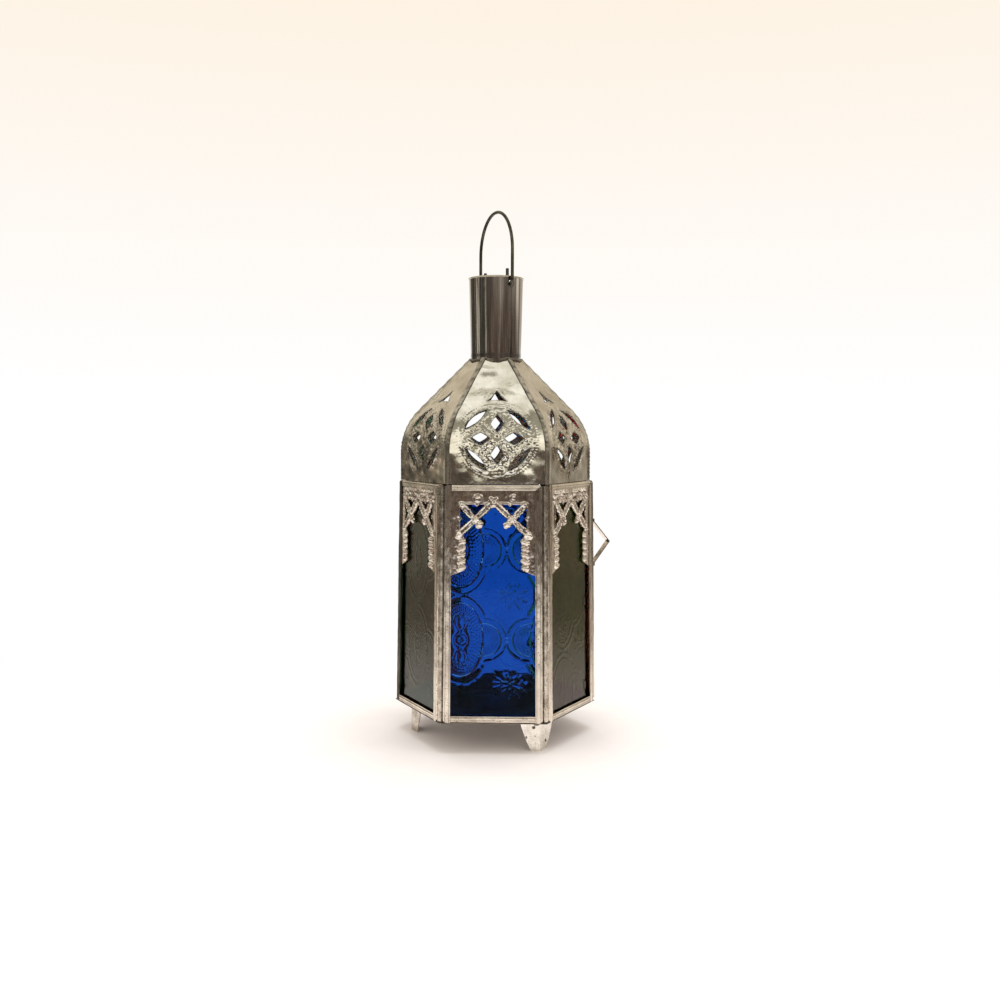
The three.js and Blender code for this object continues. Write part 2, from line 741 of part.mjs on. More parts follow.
// Knuckle with its soldered leaf: side is the panel edge it belongs to, bottom its lower end
function knuckle(side, bottom) {
  const eye = new THREE.CylinderGeometry(knuckleRadius, knuckleRadius, knuckleLength, knuckleSides);
  eye.rotateX(Math.PI / 2);
  eye.translate(0, 0, knuckleLength / 2);
  const leafLength = hingeBeyond + knuckleTab;
  const leafPlate = new THREE.BoxGeometry(leafLength, tinSheet, knuckleLength);
  leafPlate.translate((-side * leafLength) / 2, tinSheet / 2 - knuckleRadius, knuckleLength / 2);
  const boreRadius = pinRadius + pinGap;
  const bore = new THREE.CylinderGeometry(boreRadius, boreRadius, 2 * knuckleLength, knuckleSides);
  bore.rotateX(Math.PI / 2);
  const geometry = toGeometry(toSolid(eye).add(toSolid(leafPlate)).subtract(toSolid(bore)));
  geometry.translate(side * (panelWidth / 2 + hingeBeyond), -(innerApothem + hingeOut), bottom);
  return flared(geometry);
}

function hingePin(station) {
  const reach = knuckleLength + knuckleGap;
  const profile = [
    [0, -reach],
    [pinRadius, -reach],
    [pinRadius, reach - knuckleGap],
    [pinHeadRadius, reach - knuckleGap],
    [pinHeadRadius, reach - knuckleGap + pinHeadHeight / 2],
    [pinRadius, reach - knuckleGap + pinHeadHeight],
    [0, reach - knuckleGap + pinHeadHeight],
  ];
  const pin = new THREE.LatheGeometry(profile.map(([r, z]) => new THREE.Vector2(r, z)), pinSides);
  pin.rotateX(Math.PI / 2);
  const height = station + knuckleGap / 2 + solderGap;
  pin.translate(-(panelWidth / 2 + hingeBeyond), -(innerApothem + hingeOut), height);
  return flared(toGeometry(toSolid(pin)));
}

// Pull: a strip bent to a point, its ends turned flat on the door's free stile
function pull() {
  const half = pullSheet / 2;
  const line = [
    [half, pullHalf + pullTab],
    [half, pullHalf],
    [pullReach - half, 0],
    [half, -pullHalf],
    [half, -pullHalf - pullTab],
  ];
  const strip = extruded(ribbon(line, pullSheet), pullWidth);
  strip.rotateX(Math.PI / 2);
  strip.rotateZ(-Math.PI / 2);
  const face = innerApothem + channelDepth + solderGap;
  strip.translate(-halfPanel + (stileWidth - pullWidth) / 2 + pullWidth, -face, panelTop - pullDrop);
  return flared(welded(strip));
}

const lantern = new THREE.Group();

function place(parent, name, geometry, material) {
  const mesh = new THREE.Mesh(geometry, material);
  mesh.name = name;
  parent.add(mesh);
  return mesh;
}

// Hinge line of the door: it leans with the corner that it stands in
function hingeLine() {
  const angle = Math.PI / 2 - halfTurn;
  const out = panelWidth + hingeOut / Math.cos(halfTurn);
  const corner = new THREE.Vector3(Math.cos(angle), Math.sin(angle), 0);
  const at = (z) => corner.clone().multiplyScalar(out * flareAt(z)).setZ(z);
  return { foot: at(panelBottom), direction: at(panelTop).sub(at(panelBottom)).normalize() };
}

// Turns a group about the door's hinge line by some degrees
function swingOpen(group, degrees) {
  const line = hingeLine();
  group.quaternion.setFromAxisAngle(line.direction, degrees * degree);
  group.position.copy(line.foot).sub(line.foot.clone().applyQuaternion(group.quaternion));
}

const panels = [
  { name: 'front', glass: materials.blueGlass },
  { name: 'right', glass: materials.redGlass },
  { name: 'door', glass: materials.greenGlass },
  { name: 'back', glass: materials.blueGlass },
  { name: 'back_left', glass: materials.redGlass },
  { name: 'left', glass: materials.greenGlass },
];

const doorSwing = new THREE.Group();
swingOpen(doorSwing, doorAjar);
lantern.add(doorSwing);

const leftStile = stile(-1);
const rightStile = stile(1);
const upperRail = topRail();
const lowerRail = bottomRail();
const paneGlass = pane();
const pierced = fret();

panels.forEach(({ name, glass }, i) => {
  const isDoor = name === 'door';
  const panel = new THREE.Group();
  panel.rotation.z = 2 * halfTurn * i;
  (isDoor ? doorSwing : lantern).add(panel);
  place(panel, isDoor ? 'door_free_stile' : `${name}_left_stile`, leftStile, materials.tin);
  place(panel, isDoor ? 'door_hinge_stile' : `${name}_right_stile`, rightStile, materials.tin);
  place(panel, `${name}_top_rail`, upperRail, materials.tin);
  place(panel, `${name}_bottom_rail`, lowerRail, materials.tin);
  place(panel, `${name}_glass`, paneGlass, glass);
  place(panel, `${name}_fret`, pierced, materials.tin);
  for (const [station, middle] of Object.entries(hingeStations)) {
    if (isDoor) {
      const bottom = middle - knuckleGap / 2 - knuckleLength;
      place(panel, `door_knuckle_${station}`, knuckle(1, bottom), materials.tin);
    } else if (name === 'back') {
      place(panel, `body_knuckle_${station}`, knuckle(-1, middle + knuckleGap / 2), materials.tin);
      place(panel, `hinge_pin_${station}`, hingePin(middle), materials.wire);
    }
  }
  if (isDoor) {
    place(panel, 'door_pull', pull(), materials.tin);
  }
});

const dome = new THREE.Group();
dome.rotation.z = domeTurn * degree;
lantern.add(dome);
const petalShapes = [petal(false), petal(true)];
['front', 'right', 'back_right', 'back', 'back_left', 'left'].forEach((name, i) => {
  const mesh = place(dome, `${name}_petal`, petalShapes[i % 2], materials.domeTin);
  mesh.rotation.z = 2 * halfTurn * i;
});

place(lantern, 'neck', neck(), materials.neckTin);
place(lantern, 'bail', bail(), materials.wire);
place(lantern, 'floor_plate', floorPlate(), materials.tin);
place(lantern, 'candle_cup', candleCup(), materials.tin);
for (const [name, plan] of Object.entries(feet)) {
  place(lantern, name, foot(plan), materials.tin).rotation.z = plan.turn * degree;
}

export default lantern;
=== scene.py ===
"""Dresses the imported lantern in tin, figured glass, solder and wire, and sets floor, light and camera."""
from math import acos, atan2, ceil, cos, dist, hypot, pi, radians, sin, tan

import bpy
import numpy as np
from mathutils import Matrix, Vector, noise
from mathutils.geometry import delaunay_2d_cdt


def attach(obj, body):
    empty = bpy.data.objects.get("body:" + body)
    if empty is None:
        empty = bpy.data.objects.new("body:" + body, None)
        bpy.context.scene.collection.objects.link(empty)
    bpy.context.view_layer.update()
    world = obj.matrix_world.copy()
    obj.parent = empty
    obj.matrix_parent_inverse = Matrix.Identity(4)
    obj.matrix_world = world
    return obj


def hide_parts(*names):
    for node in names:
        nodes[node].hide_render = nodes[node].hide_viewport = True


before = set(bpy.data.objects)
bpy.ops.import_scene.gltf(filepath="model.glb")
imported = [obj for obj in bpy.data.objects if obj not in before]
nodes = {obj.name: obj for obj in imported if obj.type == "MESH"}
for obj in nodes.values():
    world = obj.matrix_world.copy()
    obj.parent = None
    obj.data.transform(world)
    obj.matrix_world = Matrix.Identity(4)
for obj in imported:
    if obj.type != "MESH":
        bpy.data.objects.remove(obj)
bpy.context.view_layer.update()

# Dimensions of the frame, in millimetres, as in the part's source
TIN = 0.35
GAP = 0.2
PANEL_WIDTH = 46.25
PANEL_HEIGHT = 113.5
PANEL_SPREAD = 1.75
PANEL_BOTTOM = 15.1
PANEL_TOP = PANEL_BOTTOM + PANEL_HEIGHT
HALF_TURN = pi / 6
APOTHEM = PANEL_WIDTH / 2 / tan(HALF_TURN)
HALF_PANEL = (PANEL_WIDTH - 0.3) / 2
CHANNEL = 3.4
STILE_WIDTH = 3.3
TOP_RAIL = 2.6
BOTTOM_RAIL = 3.2
SNIP = 1.1
SOLDER_GAP = 0.1
GLASS_THICKNESS = 1.3
DOME_BOTTOM = PANEL_TOP + 0.3
DOME_RADIUS = 48.5
DOME_HEIGHT = 62.0
DOME_TOP_RADIUS = 12.9
SKIRT = 13.5
SHOULDER = 31.0
DOME_TURN = radians(2.4)
LAP_WIDTH = 1.5  # how far a lap reaches past the petals' corner line
LAP_RUN = 1.2
LAP_RAMP = 0.7
SHEET_OUTSIDE = -TIN - GAP
ROUNDEL = 21.9  # the roundel's centre over the petal's foot
ROUNDEL_FIELD = 18.4
ROUNDEL_REACH = 20.3
NECK_RADIUS = 12.67
NECK_TOP_RADIUS = 13.65
NECK_BOTTOM = DOME_BOTTOM + DOME_HEIGHT - 2.9
NECK_TOP = DOME_BOTTOM + DOME_HEIGHT + 39.6
HOLE_HEIGHT = NECK_TOP - 3.8
WIRE_RADIUS = 0.8
BAIL_TURN = radians(33.0)
DOOR_AJAR = radians(1.5)
PANELS = ["front", "right", "door", "back", "back_left", "left"]
PETALS = ["front", "right", "back_right", "back", "back_left", "left"]
# Panes as colour, clear tone, deep tone, roughness, strength of the mirror image, shift of the figure
PANES = {
    "front": ("blue", (0.045, 0.20, 0.63), (0.035, 0.17, 0.56), 0.0, 0.12, (0.0, 0.0)),
    "right": ("red", (0.26, 0.075, 0.02), (0.20, 0.055, 0.015), 0.02, 0.4, (9.0, 13.0)),
    "door": ("green", (0.07, 0.34, 0.13), (0.05, 0.29, 0.11), 0.02, 0.4, (-5.0, 21.0)),
    "back": ("blue", (0.13, 0.31, 0.62), (0.11, 0.27, 0.56), 0.0, 0.6, (7.0, -14.0)),
    "back_left": ("red", (0.50, 0.05, 0.05), (0.42, 0.04, 0.04), 0.02, 0.4, (-11.0, 8.0)),
    "left": ("green", (0.045, 0.16, 0.065), (0.035, 0.13, 0.05), 0.02, 0.4, (13.0, -7.0)),
}


def flare(z):
    return 1 + PANEL_SPREAD / PANEL_WIDTH * (PANEL_TOP - z) / PANEL_HEIGHT


# Node materials

def add(tree, kind, *sources):
    """A node of a kind, with its first inputs linked to the sources."""
    node = tree.nodes.new("ShaderNode" + kind)
    for source, socket in zip(sources, node.inputs):
        tree.links.new(source, socket)
    return node


def node_material(name):
    material = bpy.data.materials.new(name)
    material.use_nodes = True
    tree = material.node_tree
    tree.nodes.clear()
    shader = add(tree, "BsdfPrincipled")
    add(tree, "OutputMaterial", shader.outputs[0])
    return material, tree, shader


def mapped(tree, output="Object", scale=(1, 1, 1)):
    mapping = add(tree, "Mapping", add(tree, "TexCoord").outputs[output])
    mapping.inputs["Scale"].default_value = scale
    return mapping.outputs[0]


def noise_value(tree, point, scale, detail=3.0, rough=0.55):
    node = add(tree, "TexNoise", point)
    for key, number in (("Scale", scale), ("Detail", detail), ("Roughness", rough)):
        node.inputs[key].default_value = number
    return node.outputs["Fac"]


def ramp(tree, value, stops):
    node = add(tree, "ValToRGB", value)
    elements = node.color_ramp.elements
    while len(elements) < len(stops):
        elements.new(1.0)
    for element, (position, colour) in zip(elements, stops):
        element.position = position
        element.color = (*colour, 1)
    return node.outputs[0]


def spread(tree, value, low, high, to_low=0.0, to_high=1.0):
    node = add(tree, "MapRange", value)
    for key, number in zip(("From Min", "From Max", "To Min", "To Max"), (low, high, to_low, to_high)):
        node.inputs[key].default_value = number
    return node.outputs[0]


def maths(tree, operation, first, second):
    node = add(tree, "Math")
    node.operation = operation
    for socket, value in zip(node.inputs, (first, second)):
        if isinstance(value, float):
            socket.default_value = value
        else:
            tree.links.new(value, socket)
    return node.outputs[0]


def mix_colour(tree, amount, first, second, blend="MIX"):
    node = add(tree, "Mix")
    node.data_type = "RGBA"
    node.blend_type = blend
    if isinstance(amount, float):
        node.inputs[0].default_value = amount
    else:
        tree.links.new(amount, node.inputs[0])
    for socket, value in ((node.inputs[6], first), (node.inputs[7], second)):
        if isinstance(value, tuple):
            socket.default_value = (*value, 1)
        else:
            tree.links.new(value, socket)
    return node.outputs[2]


def bump(tree, shader, heights):
    """Heights are (value, distance in metres), laid over each other."""
    normal = None
    for value, distance in heights:
        node = add(tree, "Bump")
        node.inputs["Strength"].default_value = 1.0
        node.inputs["Distance"].default_value = distance
        tree.links.new(value, node.inputs["Height"])
        if normal is not None:
            tree.links.new(normal, node.inputs["Normal"])
        normal = node.outputs[0]
    tree.links.new(normal, shader.inputs["Normal"])


def tin(name, light, dark, shine, blotch, specks, dents, ripple=0.00001, grain=0.00002,
        stretch=(1, 1, 1)):
    """Tinned sheet with light and dark blotches, dull patches, specks, dents, ripples and grain.

    Its darkening follows the mesh attribute "grime": mostly painted shade in creases, recesses, seams and
    hole rims, painted reflection stripes on the neck, and real soot on the lapped petals.
    """
    material, tree, shader = node_material(name)
    point = mapped(tree, scale=stretch)
    patches = noise_value(tree, point, blotch, 5.0, 0.6)
    colour = ramp(tree, patches, [(0.36, dark), (0.62, light)])
    fine = noise_value(tree, mapped(tree), 1500, 2.0, 0.5)
    spots = spread(tree, fine, 0.5 + specks, 0.56 + specks, 0.0, 0.8)
    dirt = add(tree, "Attribute")
    dirt.attribute_name = "shade_and_grime"
    cloud = noise_value(tree, point, blotch * 2.3, 4.0, 0.65)
    # Painted shade and dirt from the attribute, broken up by clouds, darken the colour towards a stain
    worn_and_shaded = maths(tree, "MULTIPLY", dirt.outputs["Fac"], spread(tree, cloud, 0.3, 0.6, 0.55, 1.0))
    stain_and_shade = tuple(0.16 * c for c in dark)
    colour = mix_colour(tree, maths(tree, "MAXIMUM", spots, worn_and_shaded), colour, stain_and_shade)
    tree.links.new(colour, shader.inputs["Base Color"])
    shader.inputs["Metallic"].default_value = 1.0
    rough = maths(tree, "ADD", spread(tree, cloud, 0.3, 0.7, *shine), spread(tree, worn_and_shaded, 0.0, 1.0, 0.0, 0.25))
    tree.links.new(rough, shader.inputs["Roughness"])
    wave = noise_value(tree, point, 95, 2.0, 0.5)
    bump(tree, shader, [(wave, dents), (noise_value(tree, point, 330, 3.0, 0.6), ripple),
                        (noise_value(tree, point, 900, 3.0, 0.6), grain)])
    return material


def glass(name, clear, deep, rough, reflect):
    """Coloured glass; reflect scales the mirror image seen straight on."""
    material, tree, shader = node_material(name)
    point = mapped(tree)
    tone = noise_value(tree, point, 60, 3.0)
    tree.links.new(ramp(tree, tone, [(0.3, deep), (0.7, clear)]), shader.inputs["Base Color"])
    shader.inputs["Transmission Weight"].default_value = 1.0
    shader.inputs["IOR"].default_value = 1.5
    shader.inputs["Specular Tint"].default_value = (reflect, reflect, reflect, 1)
    dust = noise_value(tree, point, 420, 4.0, 0.6)
    tree.links.new(spread(tree, dust, 0.45, 0.8, rough, rough + 0.1), shader.inputs["Roughness"])
    bump(tree, shader, [(noise_value(tree, point, 70, 2.0), 0.00003)])
    return material


STILE_TIN = tin("stile_tin", (0.90, 0.81, 0.70), (0.58, 0.50, 0.42), (0.10, 0.25), 80, 0.11, 0.00007,
                stretch=(1, 1, 0.35))
RAIL_TIN = tin("rail_tin", (0.90, 0.81, 0.70), (0.60, 0.52, 0.43), (0.10, 0.25), 80, 0.13, 0.00007)
# Near-black tin for the left panel's left stile: painted shade for the dark band at the lantern's left edge
DARK_SHADE_TIN = tin("dark_shade_tin", (0.20, 0.18, 0.15), (0.07, 0.06, 0.05), (0.35, 0.6), 70, 0.15, 0.00010)
FRET_TIN = tin("fret_tin", (0.90, 0.83, 0.74), (0.60, 0.49, 0.43), (0.06, 0.19), 210, 0.16, 0.00008, 0.00005)
DOME_TIN = tin("dome_tin", (0.90, 0.87, 0.78), (0.64, 0.60, 0.50), (0.06, 0.17), 85, 0.20, 0.00018, 0.00007)
LAP_TIN = tin("lap_tin", (0.78, 0.71, 0.60), (0.54, 0.47, 0.38), (0.12, 0.28), 70, 0.18, 0.00016, 0.00005)
# The neck's strong vertical streaks are partly painted reflection, over the tin's own uneven tone
NECK_TIN = tin("neck_tin", (0.74, 0.68, 0.62), (0.30, 0.26, 0.24), (0.03, 0.10), 230, 0.22, 0.00002,
               stretch=(1, 1, 0.04))
SOLDER = tin("solder", (0.84, 0.77, 0.66), (0.40, 0.34, 0.28), (0.18, 0.34), 260, 0.11, 0.00012)
# Dark old solder, also the colour of the lumps of painted shadow under the front rail
OLD_SOLDER_AND_SHADE = tin("old_solder_and_shade", (0.34, 0.30, 0.25), (0.10, 0.085, 0.07), (0.25, 0.45), 260, 0.14, 0.00025)
# A darker copy of the foot tin for the left foot: painted shade
SHADED_FOOT_TIN = tin("shaded_foot_tin", (0.74, 0.68, 0.60), (0.46, 0.40, 0.34), (0.16, 0.36), 130, 0.11,
                    0.00014)
FOOT_TIN = tin("foot_tin", (0.97, 0.93, 0.86), (0.74, 0.68, 0.60), (0.16, 0.36), 130, 0.13, 0.00014)
# Tin darkened as painted shade, for the floor plate and candle cup inside the lantern
SHADED_INSIDE_TIN = tin("shaded_inside_tin", (0.36, 0.32, 0.28), (0.18, 0.155, 0.13), (0.5, 0.75), 70, 0.16, 0.00010)
WIRE = tin("bail_wire", (0.15, 0.14, 0.10), (0.05, 0.045, 0.035), (0.20, 0.34), 150, 0.22, 0.00001,
           0.000002, 0.000004)


# Meshes

def placed(name, data):
    obj = bpy.data.objects.new(name, data)
    bpy.context.scene.collection.objects.link(obj)
    return obj


def mesh_object(name, points, faces, material, sharp=35, shade_and_grime=None):
    """An object from points in millimetres, with painted shade and grime from 0 to 1 at each point."""
    mesh = bpy.data.meshes.new(name)
    metres = np.asarray(points, dtype=float) * 0.001
    mesh.from_pydata(metres.tolist(), [], [list(map(int, face)) for face in faces])
    mesh.materials.append(material)
    mesh.polygons.foreach_set("use_smooth", [True] * len(mesh.polygons))
    mesh.set_sharp_from_angle(angle=radians(sharp))
    if shade_and_grime is not None:
        attribute = mesh.attributes.new("shade_and_grime", "FLOAT", "POINT")
        attribute.data.foreach_set("value", unit(shade_and_grime).astype(np.float32))
    mesh.validate()
    mesh.update()
    return placed(name, mesh)


def tube_faces(rings, sides, closed=False, turn_over=False):
    """Quads between rings of points; a closed tube joins its last ring to its first."""
    faces = []
    for i in range(rings if closed else rings - 1):
        a, b = i * sides, (i + 1) % rings * sides
        for k in range(sides):
            n = (k + 1) % sides
            faces.append((a + k, b + k, b + n, a + n) if turn_over else (a + k, a + n, b + n, b + k))
    return faces


def inside(points, loop):
    """Which points lie inside a closed loop."""
    x, y = points[:, 0][:, None], points[:, 1][:, None]
    a = np.asarray(loop)
    b = np.roll(a, -1, axis=0)
    crosses = (a[:, 1] > y) != (b[:, 1] > y)
    rise = np.where(b[:, 1] == a[:, 1], 1e-12, b[:, 1] - a[:, 1])
    at = (b[:, 0] - a[:, 0]) * (y - a[:, 1]) / rise + a[:, 0]
    return (crosses & (x < at)).sum(axis=1) % 2 == 1


def distance(points, line, closed=False):
    """Distance from each point to a polyline."""
    a = np.asarray(line, dtype=float)
    b = np.roll(a, -1, axis=0) if closed else a[1:]
    a = a if closed else a[:-1]
    best = np.full(len(points), 1e9)
    for start in range(0, len(a), 64):
        p, q = a[start:start + 64], b[start:start + 64]
        span = q - p
        length = np.maximum((span ** 2).sum(axis=1), 1e-12)
        share = ((points[:, None, :] - p) * span).sum(axis=2) / length
        near = p + unit(share)[:, :, None] * span
        best = np.minimum(best, np.sqrt(((points[:, None, :] - near) ** 2).sum(axis=2)).min(axis=1))
    return best


def resampled(loop, step):
    """A closed loop with a point at least every step."""
    points = []
    for i, a in enumerate(loop):
        b = loop[(i + 1) % len(loop)]
        count = max(1, ceil(dist(a, b) / step))
        points += [(a[0] + (b[0] - a[0]) * k / count, a[1] + (b[1] - a[1]) * k / count) for k in range(count)]
    return points


def grid(loop, step):
    """Points of a staggered grid inside a loop."""
    outer = np.asarray(loop)
    low, high = outer.min(axis=0), outer.max(axis=0)
    rows = []
    for j, y in enumerate(np.arange(low[1], high[1], step * 0.866)):
        x = np.arange(low[0] + (step / 2 if j % 2 else 0), high[0], step)
        rows.append(np.column_stack([x, np.full(len(x), y)]))
    points = np.concatenate(rows)
    return points[inside(points, loop)]


def sheet(loops, free, edge_step, metal, place, thickness):
    """Triangulates a flat sheet with cut edges and bends both of its faces into place.

    metal(points) tells which points lie on the sheet. place(points, depth) gives the bent points that lie
    depth below the outer face. Returns the flat points, the bent points of both faces and the faces.
    """
    loops = [resampled(loop, edge_step) for loop in loops]
    flat, edges = [], []
    for loop in loops:
        first = len(flat)
        flat += loop
        edges += [(first + i, first + (i + 1) % len(loop)) for i in range(len(loop))]
        free = free[distance(free, loop, closed=True) > 0.4 * edge_step]
    flat += [tuple(p) for p in free]
    result = delaunay_2d_cdt([Vector(p) for p in flat], edges, [], 0, 1e-5)
    points = np.array([tuple(p) for p in result[0]])
    triangles = np.array([tuple(f) for f in result[2]])
    triangles = triangles[metal(points[triangles].mean(axis=1))]
    used = np.unique(triangles)
    renumber = np.full(len(points), -1)
    renumber[used] = np.arange(len(used))
    points, triangles = points[used], renumber[triangles].tolist()
    count = len(points)
    pairs = {pair for a, b, c in triangles for pair in ((a, b), (b, c), (c, a))}
    faces = triangles + [(a + count, c + count, b + count) for a, b, c in triangles]
    faces += [(b, a, a + count, b + count) for a, b in pairs if (b, a) not in pairs]
    return points, np.concatenate([place(points, 0.0), place(points, thickness)]), faces


def turned(points, angle):
    c, s = cos(angle), sin(angle)
    out = np.array(points, dtype=float)
    out[:, 0] = points[:, 0] * c - points[:, 1] * s
    out[:, 1] = points[:, 0] * s + points[:, 1] * c
    return out


def wander(*place):
    """Smooth random value from -1 to 1 at a place."""
    return noise.noise(Vector(place))


def rough_noise(points, scale, seed=0.0):
    """Smooth random values at flat points."""
    places = [(x / scale + seed, y / scale - seed, seed * 1.7) for x, y in points]
    return np.array([wander(*place) for place in places])


def unit(value):
    return np.clip(value, 0, 1)


def hill(away, width):
    return np.exp(-(away / width) ** 2)


def dome_shape(away):
    """Round knob of height 1 where away, in radii, is below 1."""
    return np.sqrt(unit(1 - away ** 2))


def hinge_matrix():
    """The door's place: a turn about its leaning hinge line."""
    angle = pi / 2 - HALF_TURN
    out = PANEL_WIDTH + 2.65 / cos(HALF_TURN)
    ends = (PANEL_BOTTOM, PANEL_TOP)
    at = [Vector((cos(angle) * out * flare(z), sin(angle) * out * flare(z), z)) for z in ends]
    turn = Matrix.Rotation(DOOR_AJAR, 4, (at[1] - at[0]).normalized())
    return Matrix.Translation(at[0]) @ turn @ Matrix.Translation(-at[0])


HINGE = np.array(hinge_matrix())


def on_panel(points, index):
    """Points of the front panel's frame brought to a panel, with the flare and the door's swing."""
    out = np.array(points, dtype=float)
    wider = flare(out[:, 2])
    out[:, 0] *= wider
    out[:, 1] *= wider
    out = turned(out, 2 * HALF_TURN * index)
    if PANELS[index] == "door":
        out = out @ HINGE[:3, :3].T + HINGE[:3, 3]
    return out


def panel_piece(name, points, faces, material, index, replaced, sharp=35, shade_and_grime=None):
    """A piece made in the front panel's frame and set on the panel of this index."""
    obj = mesh_object(name, on_panel(points, index), faces, material, sharp, shade_and_grime)
    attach(obj, "door" if PANELS[index] == "door" else "lantern")
    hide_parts(replaced)


# Folded channel frames

STILE_FOLD = 0.5
RAIL_FOLD = 0.9


def channel_lines(width, fold):
    """Outer and inner line of the channel's section: across from its web, depth below its outer face."""
    outer, inner = [], []
    for across in np.concatenate([np.linspace(width, width - 0.9, 6), np.linspace(width - 1.1, fold, 6)]):
        bow = (across - (width + fold) / 2) / (width - fold) * 2
        pressed = 0.03 + 0.22 * hill(across - (width - 0.6), 0.17) + 0.17 * hill(across - fold - 0.4, 0.17)
        pressed += (0.14 if fold == RAIL_FOLD else 0.06) * bow * bow
        outer.append((across, pressed))
        inner.append((across, min(pressed, 0.19) + TIN))
    for centre, start in (((fold, fold), 270), ((fold, CHANNEL - fold), 180)):
        for k in range(6):
            turn = radians(start - 18 * k)
            c, s = cos(turn), sin(turn)
            outer.append((centre[0] + fold * c, centre[1] + fold * s))
            inner.append((centre[0] + (fold - TIN) * c, centre[1] + (fold - TIN) * s))
    outer.append((width, CHANNEL))
    inner.append((width, CHANNEL - TIN))
    return outer, inner


def channel_piece(index, part, width, low_end, high_end, place, material):
    """A strip folded to a channel; low_end and high_end give its ends for a distance across from the web."""
    fold = RAIL_FOLD if "rail" in part else STILE_FOLD
    outer, inner = channel_lines(width, fold)
    section = outer + inner[::-1]
    count = len(section)
    seed = 2.7 * index + len(part)
    stations = int((high_end(0) - low_end(0)) / 1.0)
    points, shade_and_grime = [], []
    for k in range(stations + 1):
        for across, depth in section:
            low, high = low_end(across), high_end(across)
            along = low + (high - low) * k / stations
            face = max(0.0, 1 - depth / 1.2)
            dent = 0.16 * wander(along / 8, across / 4, seed)
            dent += 0.07 * wander(along / 2.2, across / 1.2, seed + 9)
            x, z = place(along, across)
            points.append((x, -(APOTHEM + CHANNEL - depth - face * max(0.0, 0.07 + dent)), z))
            # Painted shade darkens the two pressed creases
            crease = hill(across - width + 0.6, 0.2) + 0.8 * hill(across - fold - 0.4, 0.2)
            shade_and_grime.append(face * crease * (0.75 + 0.5 * wander(along / 5, 0, seed)))
    faces = tube_faces(stations + 1, count)
    for start in (0, stations * count):
        faces += [(start + i, start + i + 1, start + count - 2 - i, start + count - 1 - i)
                  for i in range(len(outer) - 1)]
    name = PANELS[index]
    panel_piece(f"{name}_formed_{part}", points, faces, material, index, f"{name}_{part}", 40, shade_and_grime)


def panel_frame(index):
    name = PANELS[index]

    def snip(across):
        return max(0.0, SNIP - across)

    for side, part in ((-1, "left_stile"), (1, "right_stile")):
        if name == "door":
            part = "free_stile" if side < 0 else "hinge_stile"

        def top(across, side=side):
            mitre = SOLDER_GAP + TOP_RAIL / STILE_WIDTH * across if side > 0 else 0.0
            return PANEL_TOP - max(snip(across), mitre)

        # The left panel's left stile is painted near black as shade
        material = DARK_SHADE_TIN if (name, part) == ("left", "left_stile") else STILE_TIN
        channel_piece(index, part, STILE_WIDTH, lambda across: PANEL_BOTTOM + snip(across), top,
                      lambda along, across, side=side: (side * (HALF_PANEL - across), along), material)
    inner = HALF_PANEL - STILE_WIDTH - SOLDER_GAP
    slope = STILE_WIDTH / TOP_RAIL
    channel_piece(index, "top_rail", TOP_RAIL, lambda across: -inner,
                  lambda across: HALF_PANEL - max(snip(across), slope * (across + SOLDER_GAP)),
                  lambda along, across: (along, PANEL_TOP - across), RAIL_TIN)
    channel_piece(index, "bottom_rail", BOTTOM_RAIL, lambda across: -inner, lambda across: inner,
                  lambda along, across: (along, PANEL_BOTTOM + across), RAIL_TIN)


# Fret

HOLE, BAND, FIELD, PILLAR = 15.6, 9.2, 22.5, 13.6
ARCADE_TOP, ARCADE_BOTTOM, ARCADE_DROP = 25.2, 40.4, 3.2
BEADS = [ARCADE_TOP + (ARCADE_BOTTOM - ARCADE_TOP) / 5 * (i + 0.5) for i in range(5)]
# Bars as start, end and the share of their length where they cross; x and depth below the panel's top
BARS = [((0, 7.8), (16.6, 23.9), 0.527), ((14.9, 9.4), (6.6, 18.7), 0.741)]
# Knobs as x, depth, radius, height
KNOBS = [(8.75, 16.3, 1.8, 1.0), (6.6, 18.7, 1.9, 0.95), (16.2, 23.6, 1.8, 0.85), (14.6, 9.7, 1.6, 0.8),
         (9.9, 14.6, 1.0, 0.95), (1.3, 6.7, 0.95, 0.85)]


def cusp(a, b):
    a, b = Vector(a), Vector(b)
    edge = (b - a).normalized()
    side = Vector((edge.y, -edge.x))
    middle = (a + b) / 2
    return [tuple(middle - 1.2 * edge), tuple(middle + side), tuple(middle + 1.2 * edge)]


def fret_half():
    """Right half of the fret's opening, x and height over the panel's top."""
    a, b, c = (0, -BAND), (HOLE, -BAND), (HOLE, -FIELD)
    points = [a, *cusp(a, b), b, *cusp(b, c), c]
    for middle in BEADS:
        for k in range(7):
            turn = pi / 2 + pi * k / 6
            points.append((PILLAR + 0.9 * cos(turn), -middle + 1.52 * sin(turn)))
    return points


def leaf_width(share, cross):
    """Half width of a bar, which swells between its ends and its crossing."""
    local = np.where(share < cross, share / cross, (share - cross) / (1 - cross))
    return 1.15 + 0.65 * np.abs(np.sin(pi * local)) ** 0.7


def bar_outline(a, b, cross):
    a, b = np.array(a, dtype=float), np.array(b, dtype=float)
    along = (b - a) / np.hypot(*(b - a))
    side = np.array([-along[1], along[0]])
    shares = np.linspace(0, 1, 23)
    widths = leaf_width(shares, cross)
    left = [tuple(a + (b - a) * s + side * w) for s, w in zip(shares, widths)]
    right = [tuple(a + (b - a) * s - side * w) for s, w in zip(shares, widths)]
    return [tuple(a - along * 0.9)] + left + [tuple(b + along * 0.9)] + right[::-1]


